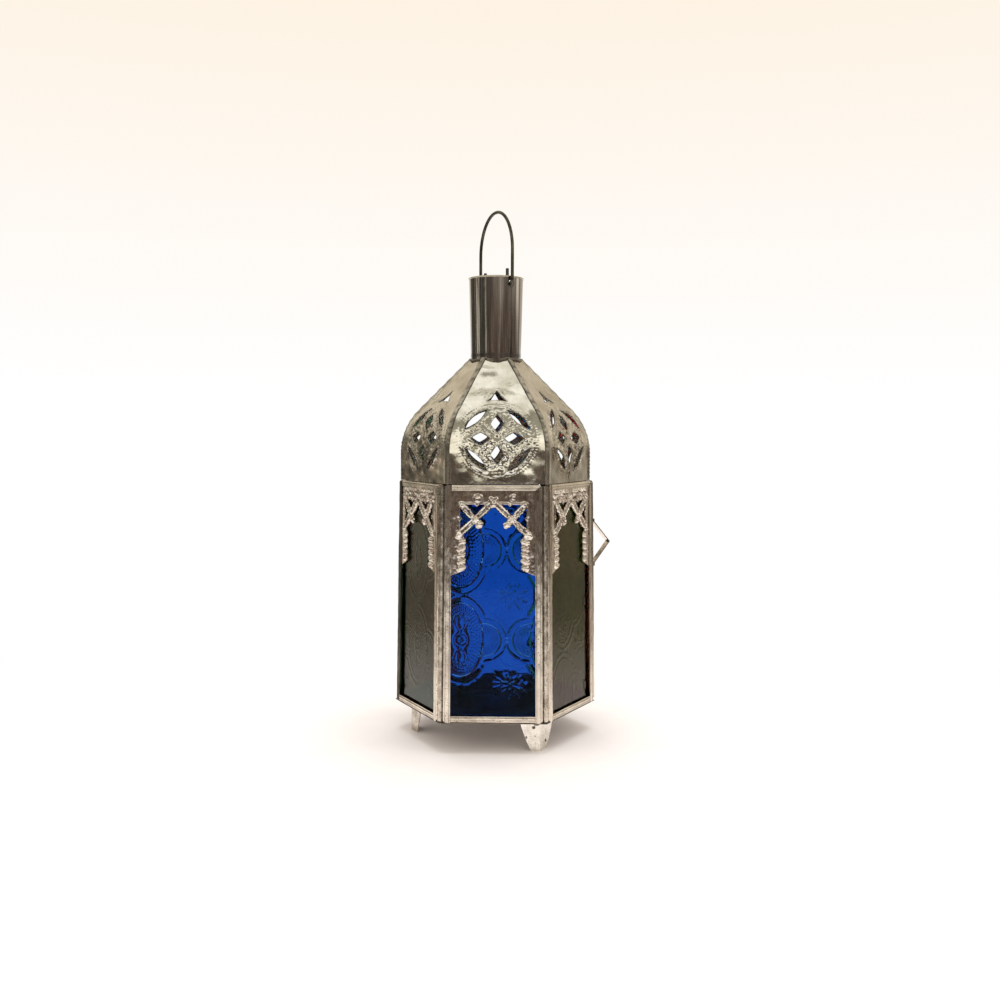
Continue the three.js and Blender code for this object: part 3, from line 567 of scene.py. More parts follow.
def fret_relief(points, index, opening_half, edge):
    """Height of the embossing, and how dark the painted shade round its raised shapes is."""
    across, up = points.T
    lift = 0.10 * rough_noise(points, 5.0, 3.1 + index) + 0.05 * rough_noise(points, 1.3, 9.1 + index)
    high = np.zeros(len(points))
    uneven = 1 + 0.45 * rough_noise(points, 1.6, 31.0 + index)
    for side in (-1, 1):
        for (x0, d0), (x1, d1), cross in BARS:
            a, b = np.array((side * x0, -d0)), np.array((side * x1, -d1))
            away = distance(points, [a, b])
            share = unit(((points - a) @ (b - a)) / ((b - a) @ (b - a)))
            wide = leaf_width(share, cross)
            body = 0.40 * unit((wide - away) / 0.35) + 0.42 * hill(away - (wide - 0.42), 0.2)
            vein = 0.16 * hill(away, 0.22)
            high = np.maximum(high, (body + vein) * (away < wide))
        for x, d, r, h in KNOBS:
            away = np.hypot(across - side * x, up + d) / r * uneven
            high = np.maximum(high, h * (0.55 * dome_shape(away) + 0.7 * hill(away, 0.42)))
        for k, middle in enumerate(BEADS):
            reach = 1.9 + 0.25 * sin(2.3 * k + index + side)
            slant = 0.22 * (across - side * PILLAR) * side
            away = np.hypot((across - side * (PILLAR + 1.0)) / reach,
                            (up + middle + slant) / 1.35)
            high = np.maximum(high, 1.1 * dome_shape(away * (0.75 + 0.25 * uneven)))
        rim = [(side * x, z) for x, z in opening_half]
        high = np.maximum(high, 0.34 * hill(distance(points, rim) - 0.4, 0.35))
        for k in range(10 if index else 0):
            x, z = side * (3.6 + 1.45 * k), -4.7 - 2.5 * (k % 2)
            away = np.hypot((across - x) / 1.35, (up - z) / 1.6) * uneven
            high = np.maximum(high, 0.85 * dome_shape(away))
    high = np.maximum(high, 0.95 * dome_shape(np.hypot(across, up + 9.0) / 1.9))
    if index == 0:
        spot = np.hypot(across + 7.2, up + 7.0)
        high = np.maximum(high, 0.55 * dome_shape(spot / 1.9))
        high = np.maximum(high, 0.35 * hill(spot - 2.3, 0.25))
        coil = np.hypot(across - 9.4, up + 6.2)
        high = np.maximum(high, 0.3 * hill(coil - 1.3, 0.3) * (across < 10.2))
    high *= (1.2 if index else 1.0) * (1 + 0.28 * rough_noise(points, 1.7, 21.0 + index))
    fade = unit((edge - 2.9 - np.abs(across)) / 0.6)
    fade *= unit((-3.0 - up) / 0.6)
    # Painted shade round the foot of every raised shape
    dirt = 0.9 * hill(high - 0.14, 0.13) * (high > 0.02) * fade
    return (lift + high) * fade, dirt


def fret_piece(index):
    name = PANELS[index]
    edge = HALF_PANEL - TIN - 0.3
    foot = -ARCADE_BOTTOM - ARCADE_DROP * (edge - PILLAR) / (HALF_PANEL - STILE_WIDTH - PILLAR)
    right = fret_half()
    opening = right + [(edge + 2, foot), (edge + 2, foot - 3), (-edge - 2, foot - 3), (-edge - 2, foot)]
    opening += [(-x, z) for x, z in reversed(right[1:])]
    outline = [(-edge, -1.0), (-edge, foot), (edge, foot), (edge, -1.0)]
    added = [bar_outline((side * x0, -d0), (side * x1, -d1), cross)
             for side in (-1, 1) for (x0, d0), (x1, d1), cross in BARS]
    for x, d, r in [(0, 9.3, 1.6)] + [(side * x, d, r) for side in (-1, 1) for x, d, r, _ in KNOBS[:2]]:
        turns = [t * pi / 10 for t in range(20)]
        wavy = [r * (1 + 0.13 * sin(2 * t + x + index) + 0.09 * sin(5 * t - x)) for t in turns]
        added.append([(x + w * cos(t), -d + w * sin(t)) for t, w in zip(turns, wavy)])

    def metal(points):
        keep = inside(points, outline) & ~inside(points, opening)
        for loop in added:
            keep |= inside(points, loop)
        return keep

    relief = {}

    def place(points, depth):
        if not relief:
            relief["lift"], relief["dirt"] = fret_relief(points, index, right, edge)
        out = APOTHEM + CHANNEL - TIN - GAP + relief["lift"] * (1.0 if depth == 0 else 0.7) - depth
        return np.column_stack([points[:, 0], -out, PANEL_TOP + points[:, 1]])

    _, points, faces = sheet([outline, opening] + added, grid(outline, 0.55), 0.5, metal, place, TIN)
    dirt = np.concatenate([relief["dirt"], relief["dirt"]])
    panel_piece(f"{name}_pierced_fret", points, faces, FRET_TIN, index, f"{name}_fret", 50, dirt)


# Figured glass

def arc(cx, cy, rx, ry, start=0.0, end=360.0, step=0.9):
    span = radians(end - start)
    count = max(6, int(abs(span) * max(rx, ry) / step))
    turns = [radians(start) + span * k / count for k in range(count + 1)]
    return [(cx + rx * cos(t), cy + ry * sin(t)) for t in turns]


def medallion(cx, cy):
    """Oval medallion: rim, outer contour, rows of dashes and a chain.

    Its lines, like all of the figure, are a polyline, a half width and a height.
    """
    lines = [(arc(cx, cy, 10.3, 17.6), 0.6, 0.42)]
    for start in (36, -144):
        lines.append((arc(cx, cy, 13.2, 20.6, start, start + 108), 0.75, 0.46))
    for rx, ry, count in ((9.3, 16.5, 56), (8.0, 14.9, 50), (6.7, 13.2, 44), (5.4, 11.4, 37)):
        for k in range(count):
            turn = 2 * pi * (k + 0.5 * (count % 4 == 2)) / count
            c, s = cos(turn), sin(turn)
            dash = [(cx + (rx - 0.65) * c, cy + (ry - 0.75) * s), (cx + rx * c, cy + ry * s)]
            lines.append((dash, 0.25, 0.17))
    lines.append((arc(cx, cy, 2.6, 2.6, step=0.6), 0.45, 0.26))
    lines.append((arc(cx, cy, 0.6, 0.6, step=0.4), 0.3, 0.16))
    for up in (-1, 1):
        lines.append((arc(cx, cy + 8.4 * up, 1.6, 3.6, step=0.7), 0.42, 0.25))
    heights = np.arange(-12.5, 12.6, 0.8)
    for side in (-1, 1):
        wave = [(cx + side * (1.2 + 2.2 * abs(cos(pi * y / 9.2))), cy + y) for y in heights]
        lines.append((wave, 0.42, 0.25))
    return lines


def lobe(cx, cy, side):
    """Round lobe beside a medallion, with a thick outer arc and fans of short dashes."""
    turn = 0 if side > 0 else 180
    lines = [(arc(cx, cy, 7.8, 7.8, turn - 118, turn + 118), 0.42, 0.3),
             (arc(cx, cy, 10.4, 10.4, turn - 88, turn + 88), 0.8, 0.46)]
    for row, radius in enumerate((6.6, 5.4, 4.2)):
        count = 22 - 4 * row
        for k in range(count):
            a = radians(turn - 100 + 200 * (k + 0.5) / count)
            c, s = cos(a), sin(a)
            dash = [(cx + (radius - 0.8) * c, cy + (radius - 0.8) * s), (cx + radius * c, cy + radius * s)]
            lines.append((dash, 0.25, 0.17))
    return lines


def drop_petals(cx, cy, count, base, tip, wide, squeeze):
    """Solid pointed petals round a centre, as middle lines with a half width at each point."""
    lines = []
    for k in range(count):
        a = 2 * pi * (k + 0.5) / count
        c, s = cos(a), squeeze * sin(a)
        along = [base + (tip - base) * t for t in (0.0, 0.2, 0.45, 0.7, 0.9, 1.0)]
        widths = [0.12 * wide, 0.4 * wide, 0.75 * wide, wide, 0.9 * wide, 0.2 * wide]
        lines.append(([(cx + u * c, cy + u * s) for u in along], widths, 0.3))
    return lines


PATTERN_STEP = 43.0
PLAIN_FOOT = -112  # no medallion has its middle below this
FIGURE_BED = 0.5  # depth of a blue pane's figured ground
WORN_FIGURE = 0.22  # height of the other panes' worn figure, as a share


def figure_lines(shift_x, shift_y):
    """The whole pattern of a pane: medallions with lobes, daisies and sprigs between."""
    lines = []
    for column in (-1, 0, 1):
        for row in (-2, -1, 0, 1, 2):
            cx, cy = -15.1 + PATTERN_STEP * column + shift_x, -74.0 + PATTERN_STEP * row + shift_y
            if cy > PLAIN_FOOT:
                lines += medallion(cx, cy) + lobe(cx + 10.9, cy, 1) + lobe(cx - 10.9, cy, -1)
            lines += drop_petals(cx + 20.9, cy - 20.7, 10, 2.6, 8.6, 1.3, 0.74)
            lines.append((arc(cx + 20.9, cy - 20.7, 1.4, 1.1, step=0.6), 0.3, 0.2))
            lines += drop_petals(cx + 25.0, cy + 21.0, 8, 4.2, 6.6, 0.75, 1.0)
            lines += drop_petals(cx + 25.0, cy + 21.0, 6, 1.6, 3.2, 0.5, 1.0)
    return lines


def clipped(line, widths, half, low, high):
    """The runs of a polyline that lie inside the pane, each with its half widths."""
    runs, run = [], []
    for (x, y), width in zip(line, widths):
        if abs(x) < half and low < y < high:
            run.append((x, y, width))
        else:
            runs.append(run)
            run = []
    runs.append(run)
    return [np.array(run) for run in runs if len(run) > 1]


def offset(run, side):
    """A run's points moved sideways by its half widths."""
    line = run[:, :2]
    along = np.gradient(line, axis=0)
    along /= np.maximum(np.hypot(along[:, 0], along[:, 1]), 1e-9)[:, None]
    return line + side * run[:, 2:] * np.column_stack([-along[:, 1], along[:, 0]])


def pane_piece(index):
    """A pane with one smooth face; the figure stands inwards on blue panes, outwards and worn on the rest."""
    name = PANELS[index]
    colour, *look, shift = PANES[name]
    outwards = colour != "blue"
    half = HALF_PANEL - TIN - 0.3
    low, high = -PANEL_HEIGHT + TIN + 0.3, -TIN - 0.3
    loop = resampled([(-half, low), (half, low), (half, high), (-half, high)], 3.0)
    flat = [tuple(p) for p in loop]
    free = grid(loop, 2.6)
    flat += [tuple(p) for p in free[distance(free, loop, closed=True) > 1]]
    known = [0.0] * len(flat)
    for line, width, height in figure_lines(*shift):
        widths = width if isinstance(width, list) else [width] * len(line)
        for run in clipped(line, widths, half - 0.8, low + 0.8, high - 0.8):
            for side, rise in ((-1, 0.0), (1, 0.0), (0, height)):
                flat += [tuple(p) for p in offset(run, side)]
                known += [rise] * len(run)
            for tip, before in ((run[0], run[1]), (run[-1], run[-2])):
                out = tip[:2] - before[:2]
                flat.append(tuple(tip[:2] + out / np.hypot(*out) * tip[2]))
                known.append(0.0)
    edges = [(i, (i + 1) % len(loop)) for i in range(len(loop))]
    result = delaunay_2d_cdt([Vector(p) for p in flat], edges, [], 0, 1e-4)
    points = np.array([tuple(p) for p in result[0]])
    lift = np.array([max([known[i] for i in origin] or [0.0]) for origin in result[3]])
    keep = np.abs(points[:, 0]) <= half + 1e-3
    keep &= (points[:, 1] >= low - 1e-3) & (points[:, 1] <= high + 1e-3)
    triangles = [tuple(f) for f in result[2] if keep[list(f)].all()]
    back = APOTHEM + TIN + GAP
    count, rim = len(points), len(loop)
    figured_at, smooth_at = back + FIGURE_BED - lift, back + GLASS_THICKNESS
    if outwards:
        figured_at, smooth_at = back + GLASS_THICKNESS - 0.12 + WORN_FIGURE * lift, back
    figured = np.column_stack([points[:, 0], -figured_at * np.ones(count), PANEL_TOP + points[:, 1]])
    smooth = np.array([(x, -smooth_at, PANEL_TOP + z) for x, z in loop])
    faces = [(a, c, b) for a, b, c in triangles] + [tuple(count + i for i in range(rim))]
    faces += [(count + (i + 1) % rim, count + i, i, (i + 1) % rim) for i in range(rim)]
    if outwards:
        faces = [face[::-1] for face in faces]
    material = glass(f"{colour}_glass_{name}", *look)
    panel_piece(f"{name}_figured_pane", np.concatenate([figured, smooth]), faces, material, index,
                f"{name}_glass")


# Dome

def meridian_table():
    """Distance along the sheet, radius to the petal's middle, height and outward normal."""
    centre = (DOME_RADIUS - SHOULDER, SKIRT)
    reach = (DOME_TOP_RADIUS - centre[0], DOME_HEIGHT - centre[1])
    touch = atan2(reach[1], reach[0]) - acos(SHOULDER / hypot(*reach))
    narrow = cos(HALF_TURN)
    points = [(DOME_RADIUS * narrow, SKIRT * k / 12) for k in range(12)]
    points += [((centre[0] + SHOULDER * cos(touch * k / 120)) * narrow,
                centre[1] + SHOULDER * sin(touch * k / 120)) for k in range(121)]
    last, top = np.array(points[-1]), np.array((DOME_TOP_RADIUS * narrow, DOME_HEIGHT))
    points += [tuple(last + (top - last) * k / 30) for k in range(1, 31)]
    points = np.array(points)
    steps = np.hypot(*np.diff(points, axis=0).T)
    run = np.concatenate([[0], np.cumsum(steps)])
    tangent = np.gradient(points, axis=0)
    tangent /= np.hypot(tangent[:, 0], tangent[:, 1])[:, None]
    return run, points, np.column_stack([tangent[:, 1], -tangent[:, 0]])


RUN, MERIDIAN, MERIDIAN_NORMAL = meridian_table()


def meridian(run):
    run = np.clip(run, 0, RUN[-1])
    return [np.interp(run, RUN, column) for column in (*MERIDIAN.T, *MERIDIAN_NORMAL.T)]


def petal_half(run, lift):
    """Half width of a petal, at a lift over its plain form."""
    r, _, nr, _ = meridian(run)
    return (r + lift * nr) * tan(HALF_TURN)


def on_petal(x, run, lift):
    """Points on the front petal, x from its middle and run along its meridian."""
    r, h, nr, nh = meridian(run)
    return np.column_stack([x, -(r + lift * nr), DOME_BOTTOM + h + lift * nh])


def top_run(x, lift, radius):
    """Where the sheet meets the neck, at x from the petal's middle."""
    low, high = 30.0, RUN[-1]
    for _ in range(40):
        middle = (low + high) / 2
        r, _, nr, _ = meridian(middle)
        if hypot(x, r + lift * nr) > radius:
            low = middle
        else:
            high = middle
    return low


def roundel_point(radius, angle):
    return (radius * cos(angle), ROUNDEL + radius * sin(angle))


LEAF_OUTSIDE = 16.3
LEAF_INSIDE = 12.7
LEAF_TURN = radians(28)


def leaf_loop(angle):
    points = [roundel_point(LEAF_OUTSIDE, angle - LEAF_TURN + 2 * LEAF_TURN * k / 14) for k in range(15)]
    chord = LEAF_OUTSIDE * cos(LEAF_TURN)
    bulge = Vector(roundel_point(2 * LEAF_INSIDE - chord, angle))
    start, end = Vector(points[-1]), Vector(points[0])
    for k in range(1, 12):
        t = k / 12
        points.append(tuple(start * (1 - t) ** 2 + bulge * 2 * t * (1 - t) + end * t ** 2))
    return points


def lozenge_loop(angle):
    c, s = cos(angle), sin(angle)
    points = []
    for k in range(4):
        a, b = k * pi / 2, (k + 1) * pi / 2
        for t in (0.0, 0.25, 0.5, 0.75):
            u = (1 - t) * cos(a) + t * cos(b)
            v = (1 - t) * sin(a) + t * sin(b)
            swell = 1 + 0.10 * 4 * t * (1 - t)
            along, across = 8.0 + 4.5 * u * swell, 3.1 * v * swell
            points.append((c * along - s * across, ROUNDEL + s * along + c * across))
    return points


SPEAR = [(0, 50.4), (-1.0, 48.3), (-1.9, 46.3), (-3.2, 44.4), (-4.9, 42.8), (-2.4, 43.3), (0, 43.6),
         (2.4, 43.3), (4.9, 42.8), (3.2, 44.4), (1.9, 46.3), (1.0, 48.3)]
HOLES = [lozenge_loop(k * pi / 2) for k in range(4)]
HOLES += [leaf_loop(pi / 4 + k * pi / 2) for k in range(4)] + [SPEAR]


def punched(points, centres, radius, height):
    """Round punch marks at the centres."""
    lift = np.zeros(len(points))
    for x, y in centres:
        lift = np.maximum(lift, height * dome_shape(np.hypot(points[:, 0] - x, points[:, 1] - y) / radius))
    return lift


def eased(share):
    share = unit(share)
    return share * share * (3 - 2 * share)


def petal_bow(run, lapped):
    """How far the sheet's middle sinks under the petal's plain form."""
    if lapped:
        return 0.55 * np.sin(pi * unit((run - 40) / 20))
    low = (0.06 * np.minimum(run, 8) + 0.8 * eased((run - 5) / 12)) * (1 - eased((run - 26) / 18))
    return low + 0.75 * np.sin(pi * unit((run - 47) / 17))


def petal_relief(points, seed, lapped, soot):
    """Height of the embossing over the flat sheet, and how much painted shade and soot it holds."""
    x, run = points[:, 0], points[:, 1]
    centre = np.hypot(x, run - ROUNDEL)
    lift = 0.5 * rough_noise(points, 11.0, seed)
    lift += (0.4 if lapped else 0.3) * rough_noise(points, 5.0, seed + 4)
    field = unit(ROUNDEL_FIELD - centre)
    hammer = 0.34 * rough_noise(points, 1.5, seed + 7) + 0.20 * rough_noise(points, 0.85, seed + 2)
    lift += field * (0.3 + hammer)
    away = np.full(len(points), 9.0)
    for hole in HOLES:
        away = np.minimum(away, distance(points, hole, closed=True))
    lift += 0.34 * hill(away - 0.55, 0.35) * (1 + 0.7 * rough_noise(points, 1.1, seed + 11))
    broken = np.clip(0.7 + 0.9 * rough_noise(points, 3.0, seed + 15), 0, 1.3)
    for radius, height in ((18.1, 0.36), (16.9, 0.16)):
        lift += height * broken * unit(1 - np.abs(centre - radius) / 0.55)
    border = [roundel_point(19.3, 2 * pi * k / 84) for k in range(84)]
    lift += broken * punched(points, border, 0.62, 0.24)
    rows = []
    for k in range(4):
        a = pi / 4 + k * pi / 2
        c, s = cos(a), sin(a)
        for across in (-1.5, 1.5):
            rows += [(along * c - across * s, ROUNDEL + along * s + across * c)
                     for along in np.arange(1.6, 12.0, 1.35)]
        rows += [roundel_point(11.6 + 1.4 * (t / 0.44) ** 2, a + t) for t in np.arange(-0.44, 0.45, 0.11)]
    lift += punched(points, rows, 0.62, 0.36)
    for side in (-1, 1):
        lift += punched(points, [(side * (0.9 + 0.55 * k), 51.2 - 1.05 * k) for k in range(9)], 0.5, 0.2)
    lift += punched(points, [(-6 + 1.2 * k, 41.3 - 0.02 * (k - 5) ** 2) for k in range(11)], 0.55, 0.22)
    # Painted shade in the hammer dents and along the holes' rims
    dirt = 0.6 * unit(-hammer * 4) * field + 0.8 * hill(away, 0.3)
    if lapped:
        drop = np.hypot(x / 0.9, (run - 3.4) / 1.5)
        lift += 0.5 * unit(1 - np.abs(drop - 1) / 0.5)
        # Painted shade in a ring round the punched drop
        dirt += 0.6 * hill(drop - 1.5, 0.3)
        smoke = unit(2.2 * rough_noise(points, 6.0, seed + 19) + 0.35)
        dirt += soot * smoke * unit((26 - run) / 14)
    return lift * np.clip(run / 6, 0.1, 1), dirt


def dome_piece(index):
    name = PETALS[index]
    lapped = index % 2 == 1
    runs = np.concatenate([np.arange(0, SKIRT, 1.5), np.arange(SKIRT, RUN[-1] - 0.5, 1.0)])
    seed = 1.3 + 2.1 * index

    def half(run):
        if lapped:
            return petal_half(run, -TIN) + LAP_WIDTH
        return petal_half(run, -2 * TIN - GAP) - 0.15

    top_half = float(half(RUN[-1] - 4)) - (0.2 if lapped else 0)
    across = np.linspace(top_half, -top_half, 19)
    radius = NECK_RADIUS + 0.25
    ends = [top_run(min(abs(x), float(petal_half(RUN[-1], 0))), SHEET_OUTSIDE, radius) for x in across]
    limit = min(ends[0], ends[-1])
    right = [(float(half(r)), r) for r in runs if r < limit - 0.6]
    top = [(max(-half(e), min(half(e), x)), e) for x, e in zip(across, ends)]
    outline = right + top + [(-x, r) for x, r in reversed(right)]
    soot = 0.95 if name == "left" else 0.35
    relief = {}

    def metal(points):
        keep = inside(points, outline)
        for hole in HOLES:
            keep &= ~inside(points, hole)
        return keep

    def place(points, depth):
        x, run = points[:, 0], points[:, 1]
        if not relief:
            relief["lift"], relief["dirt"] = petal_relief(points, seed, lapped, soot)
        size = np.abs(x)
        if not lapped:
            fade = unit((half(run) - size) / 2.0)
            # Painted shadow along the petal's edge, under the neighbouring lap
            relief["seam"] = 0.9 * hill(half(run) - size, 0.5)
            bow = petal_bow(run, lapped) * eased((half(run) - size) / 7)
            return on_petal(x, run, SHEET_OUTSIDE + relief["lift"] * fade - bow - depth)
        edge = petal_half(run, -TIN)
        rise = unit((size - (edge - LAP_RUN - LAP_RAMP)) / LAP_RAMP)
        fade = unit((edge - LAP_RUN - LAP_RAMP - size) / 2.0)
        crimp = 0.10 * np.sin((edge + LAP_WIDTH - size) / (LAP_WIDTH + LAP_RUN) * pi * 5)
        # Painted shadow along the lap's edge, and painted shade over the lap and in its crimp troughs
        relief["seam"] = 0.9 * hill(size - edge - LAP_WIDTH, 0.35)
        relief["seam"] += (0.35 + 0.5 * unit(-crimp * 10)) * rise
        bow = petal_bow(run, lapped) * eased((edge - LAP_RUN - LAP_RAMP - size) / 7)
        lift = SHEET_OUTSIDE + rise * 0.55 + relief["lift"] * fade - bow + crimp * rise - depth
        over = size > edge
        flat = on_petal(np.where(over, np.sign(x) * (2 * edge - size), x), run, lift)
        for i in np.nonzero(over)[0]:
            side = 1 if x[i] > 0 else -1
            plane = np.array([side * cos(HALF_TURN), sin(HALF_TURN), 0])
            flat[i] -= 2 * (flat[i] @ plane) * plane
        return flat

    coarse, fine = grid(outline, 1.15), grid(outline, 0.56)
    far = np.hypot(coarse[:, 0], coarse[:, 1] - ROUNDEL) > ROUNDEL_REACH + 0.1
    near = np.hypot(fine[:, 0], fine[:, 1] - ROUNDEL) < ROUNDEL_REACH - 0.1
    free = np.concatenate([coarse[far], fine[near]])
    _, points, faces = sheet([outline] + HOLES, free, 0.6, metal, place, TIN)
    dirt = unit(relief["dirt"] + relief["seam"])
    points = turned(points, 2 * HALF_TURN * index + DOME_TURN)
    piece = mesh_object(f"{name}_embossed_petal", points, faces, LAP_TIN if lapped else DOME_TIN, 50,
                        np.concatenate([dirt, dirt]))
    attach(piece, "lantern")
    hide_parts(f"{name}_petal")


# Neck, rim and bail

RING_STEPS = 144


def neck_radius(z):
    return NECK_RADIUS + (NECK_TOP_RADIUS - NECK_RADIUS) * (z - NECK_BOTTOM) / (NECK_TOP - NECK_BOTTOM)


def neck_piece():
    middle_radius = 13.0
    around = pi * middle_radius - 0.15
    high = NECK_TOP - 0.4
    outline = [(-around, NECK_BOTTOM), (around, NECK_BOTTOM), (around, high), (-around, high)]
    holes = []
    for angle in (BAIL_TURN, BAIL_TURN + pi):
        centre = ((angle + pi) % (2 * pi) - pi) * middle_radius
        holes.append(arc(centre, HOLE_HEIGHT, 1.5, 1.5, step=0.4)[:-1])

    def metal(points):
        return inside(points, outline) & ~inside(points, holes[0]) & ~inside(points, holes[1])

    def place(points, depth):
        angle = points[:, 0] / middle_radius
        z = points[:, 1]
        facet = 0.12 * rough_noise(np.column_stack([points[:, 0], z * 0.03]), 3.0, 5.5)
        facet += 0.05 * rough_noise(np.column_stack([points[:, 0], z * 0.08]), 1.4, 8.5)
        radius = neck_radius(z) + facet - 0.05 - depth
        return np.column_stack([radius * np.sin(angle), -radius * np.cos(angle), z])

    flat, points, faces = sheet([outline] + holes, grid(outline, 0.9), 0.7, metal, place, TIN)
    # Painted shade where the neck meets the dome
    dirt = 0.85 * hill(flat[:, 1] - (DOME_BOTTOM + DOME_HEIGHT + 0.6), 0.9)
    # Painted shade round the holes
    for hole in holes:
        dirt += 0.8 * hill(distance(flat, hole, closed=True), 0.6)
    # Two dark vertical stripes of painted reflection, one down each side of the neck
    band = (flat[:, 0] / middle_radius + radians(56)) / radians(5)
    other = (flat[:, 0] / middle_radius - radians(62)) / radians(3.2)
    uneven = 0.9 + 0.3 * rough_noise(flat * np.array([1, 0.2]), 1.5, 2.0)
    dirt += 0.85 * (np.exp(-band ** 4) + np.exp(-other ** 4)) * uneven
    piece = mesh_object("neck_tube", points, faces, NECK_TIN, 35, np.concatenate([dirt, dirt]))
    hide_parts("neck")
    heights = [NECK_TOP - 0.5] * RING_STEPS
    rim = ring_piece("neck_rim", NECK_TOP_RADIUS + 0.05, heights, 0.42, LAP_TIN, 0.0, 0.0)
    path = [(0.15 * sin(k * 0.7), neck_radius(z) + 0.02, z)
            for k, z in enumerate(np.linspace(NECK_BOTTOM + 4, NECK_TOP - 1.2, 40))]
    seam = swept("neck_seam", path, [0.55 + 0.12 * sin(k * 1.3) for k in range(40)], 10, SOLDER, 0.35)
    for obj in (piece, rim, seam):
        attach(obj, "lantern")


def ring_piece(name, radius, heights, thick, material, wobble, seed):
    """A closed round bar about the axis; its heights go round it from the front."""
    points, sides = [], 10
    for i in range(RING_STEPS):
        a = 2 * pi * i / RING_STEPS
        c, s = cos(a), sin(a)
        size = thick * (1 + wobble * wander(5 * c, 5 * s, seed))
        shift = 0.5 * wobble * wander(6 * c, 6 * s, seed + 5)
        for k in range(sides):
            b = 2 * pi * k / sides
            r = radius + size * cos(b)
            points.append((r * s, -r * c, heights[i] + shift + size * sin(b)))
    faces = tube_faces(RING_STEPS, sides, closed=True, turn_over=True)
    return mesh_object(name, points, faces, material, 60)


def neck_solder():
    """Fillet of solder that follows the line where the petals meet the neck."""
    radius = NECK_RADIUS + 0.35
    heights = []
    for i in range(RING_STEPS):
        local = (2 * pi * i / RING_STEPS - DOME_TURN + HALF_TURN) % (2 * HALF_TURN) - HALF_TURN
        run = top_run(abs(radius * sin(local)), 0, radius)
        heights.append(float(on_petal(np.zeros(1), np.array([run]), 0)[0, 2]) - 0.1)
    smooth = np.convolve(np.concatenate([heights[-2:], heights, heights[:2]]), np.full(5, 0.2), mode="valid")
    level = 0.5 * smooth + 0.5 * smooth.mean()
    ring = ring_piece("neck_solder", radius - 0.05, level, 0.6, OLD_SOLDER_AND_SHADE, 0.6, 2.0)
    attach(ring, "lantern")


def swept(name, path, radii, sides, material, flat=1.0):
    """A round bar along a path, with rounded ends; flat squeezes it along the radius from the axis."""
    path = [Vector(p) for p in path]
    count = len(path)
    points = []
    side_before = None
    for i, p in enumerate(path):
        along = (path[min(i + 1, count - 1)] - path[max(i - 1, 0)]).normalized()
        if side_before is None:
            helper = Vector((0, 0, 1)) if abs(along.z) < 0.9 else Vector((1, 0, 0))
            side_before = along.cross(helper).normalized()
        side = (side_before - along * side_before.dot(along)).normalized()
        side_before = side
        other = along.cross(side)
        for k in range(sides):
            a = 2 * pi * k / sides
            beside = side * cos(a) * radii[i] + other * sin(a) * radii[i]
            if flat != 1.0:
                out = Vector((p.x, p.y, 0)).normalized()
                beside -= out * beside.dot(out) * (1 - flat)
            points.append(p + beside)
    faces = tube_faces(count, sides)
    for end, ring in ((0, 0), (-1, (count - 1) * sides)):
        along = (path[0] - path[1] if end == 0 else path[-1] - path[-2]).normalized()
        tip = len(points)
        points.append(path[end] + along * radii[end] * 0.35)
        for k in range(sides):
            pair = [ring + k, ring + (k + 1) % sides]
            faces.append((tip, *(pair[::-1] if end == 0 else pair)))
    return mesh_object(name, [tuple(p) for p in points], faces, material, 60)


HOOK_BEND = 2.3
HOOK_TIP = 7.5
BAIL_SHOULDER = 16.5
BAIL_ARCH = 20.0


def bail_path():
    """The wire's middle line: hook, straight leg and arch, and the same on the other side."""
    leg = NECK_TOP_RADIUS + 0.45 + 0.2 + WIRE_RADIUS
    half = [(leg - 2 * HOOK_BEND, HOOK_TIP - (HOOK_TIP - HOOK_BEND) * k / 8) for k in range(8)]
    turns = [pi + pi * k / 20 for k in range(20)]
    half += [(leg - HOOK_BEND + HOOK_BEND * cos(t), HOOK_BEND + HOOK_BEND * sin(t)) for t in turns]
    half += [(leg, HOOK_BEND + (BAIL_SHOULDER - HOOK_BEND) * k / 14) for k in range(14)]
    turns = [pi / 2 * k / 36 for k in range(36)]
    half += [(leg * cos(t), BAIL_SHOULDER + BAIL_ARCH * sin(t)) for t in turns]
    full = half + [(0.0, BAIL_SHOULDER + BAIL_ARCH)] + [(-x, y) for x, y in reversed(half)]
    c, s = sin(BAIL_TURN), -cos(BAIL_TURN)
    return [(x * c, x * s, HOLE_HEIGHT + y) for x, y in full]


def bail_piece():
    path = bail_path()
    radii = [WIRE_RADIUS * (1 - 0.03 * abs(noise.noise(Vector(p) * 0.3))) for p in path]
    piece = swept("bail_handle", path, radii, 16, WIRE)
    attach(piece, "bail")
    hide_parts("bail")


# Solder

# Section of the solder between two panels: round the corner, radius, painted shade (the dark seam beside one
# panel)
CORNER = [(-1.0, 47.3, 0.3), (-1.6, 48.5, 0.3), (-1.3, 48.8, 0.1), (-0.6, 48.87, 0.0), (0.1, 48.8, 0.05),
          (0.5, 48.5, 0.3), (0.72, 47.95, 0.9), (0.95, 47.5, 1.0), (1.3, 47.3, 1.0), (0.9, 46.9, 0.5)]


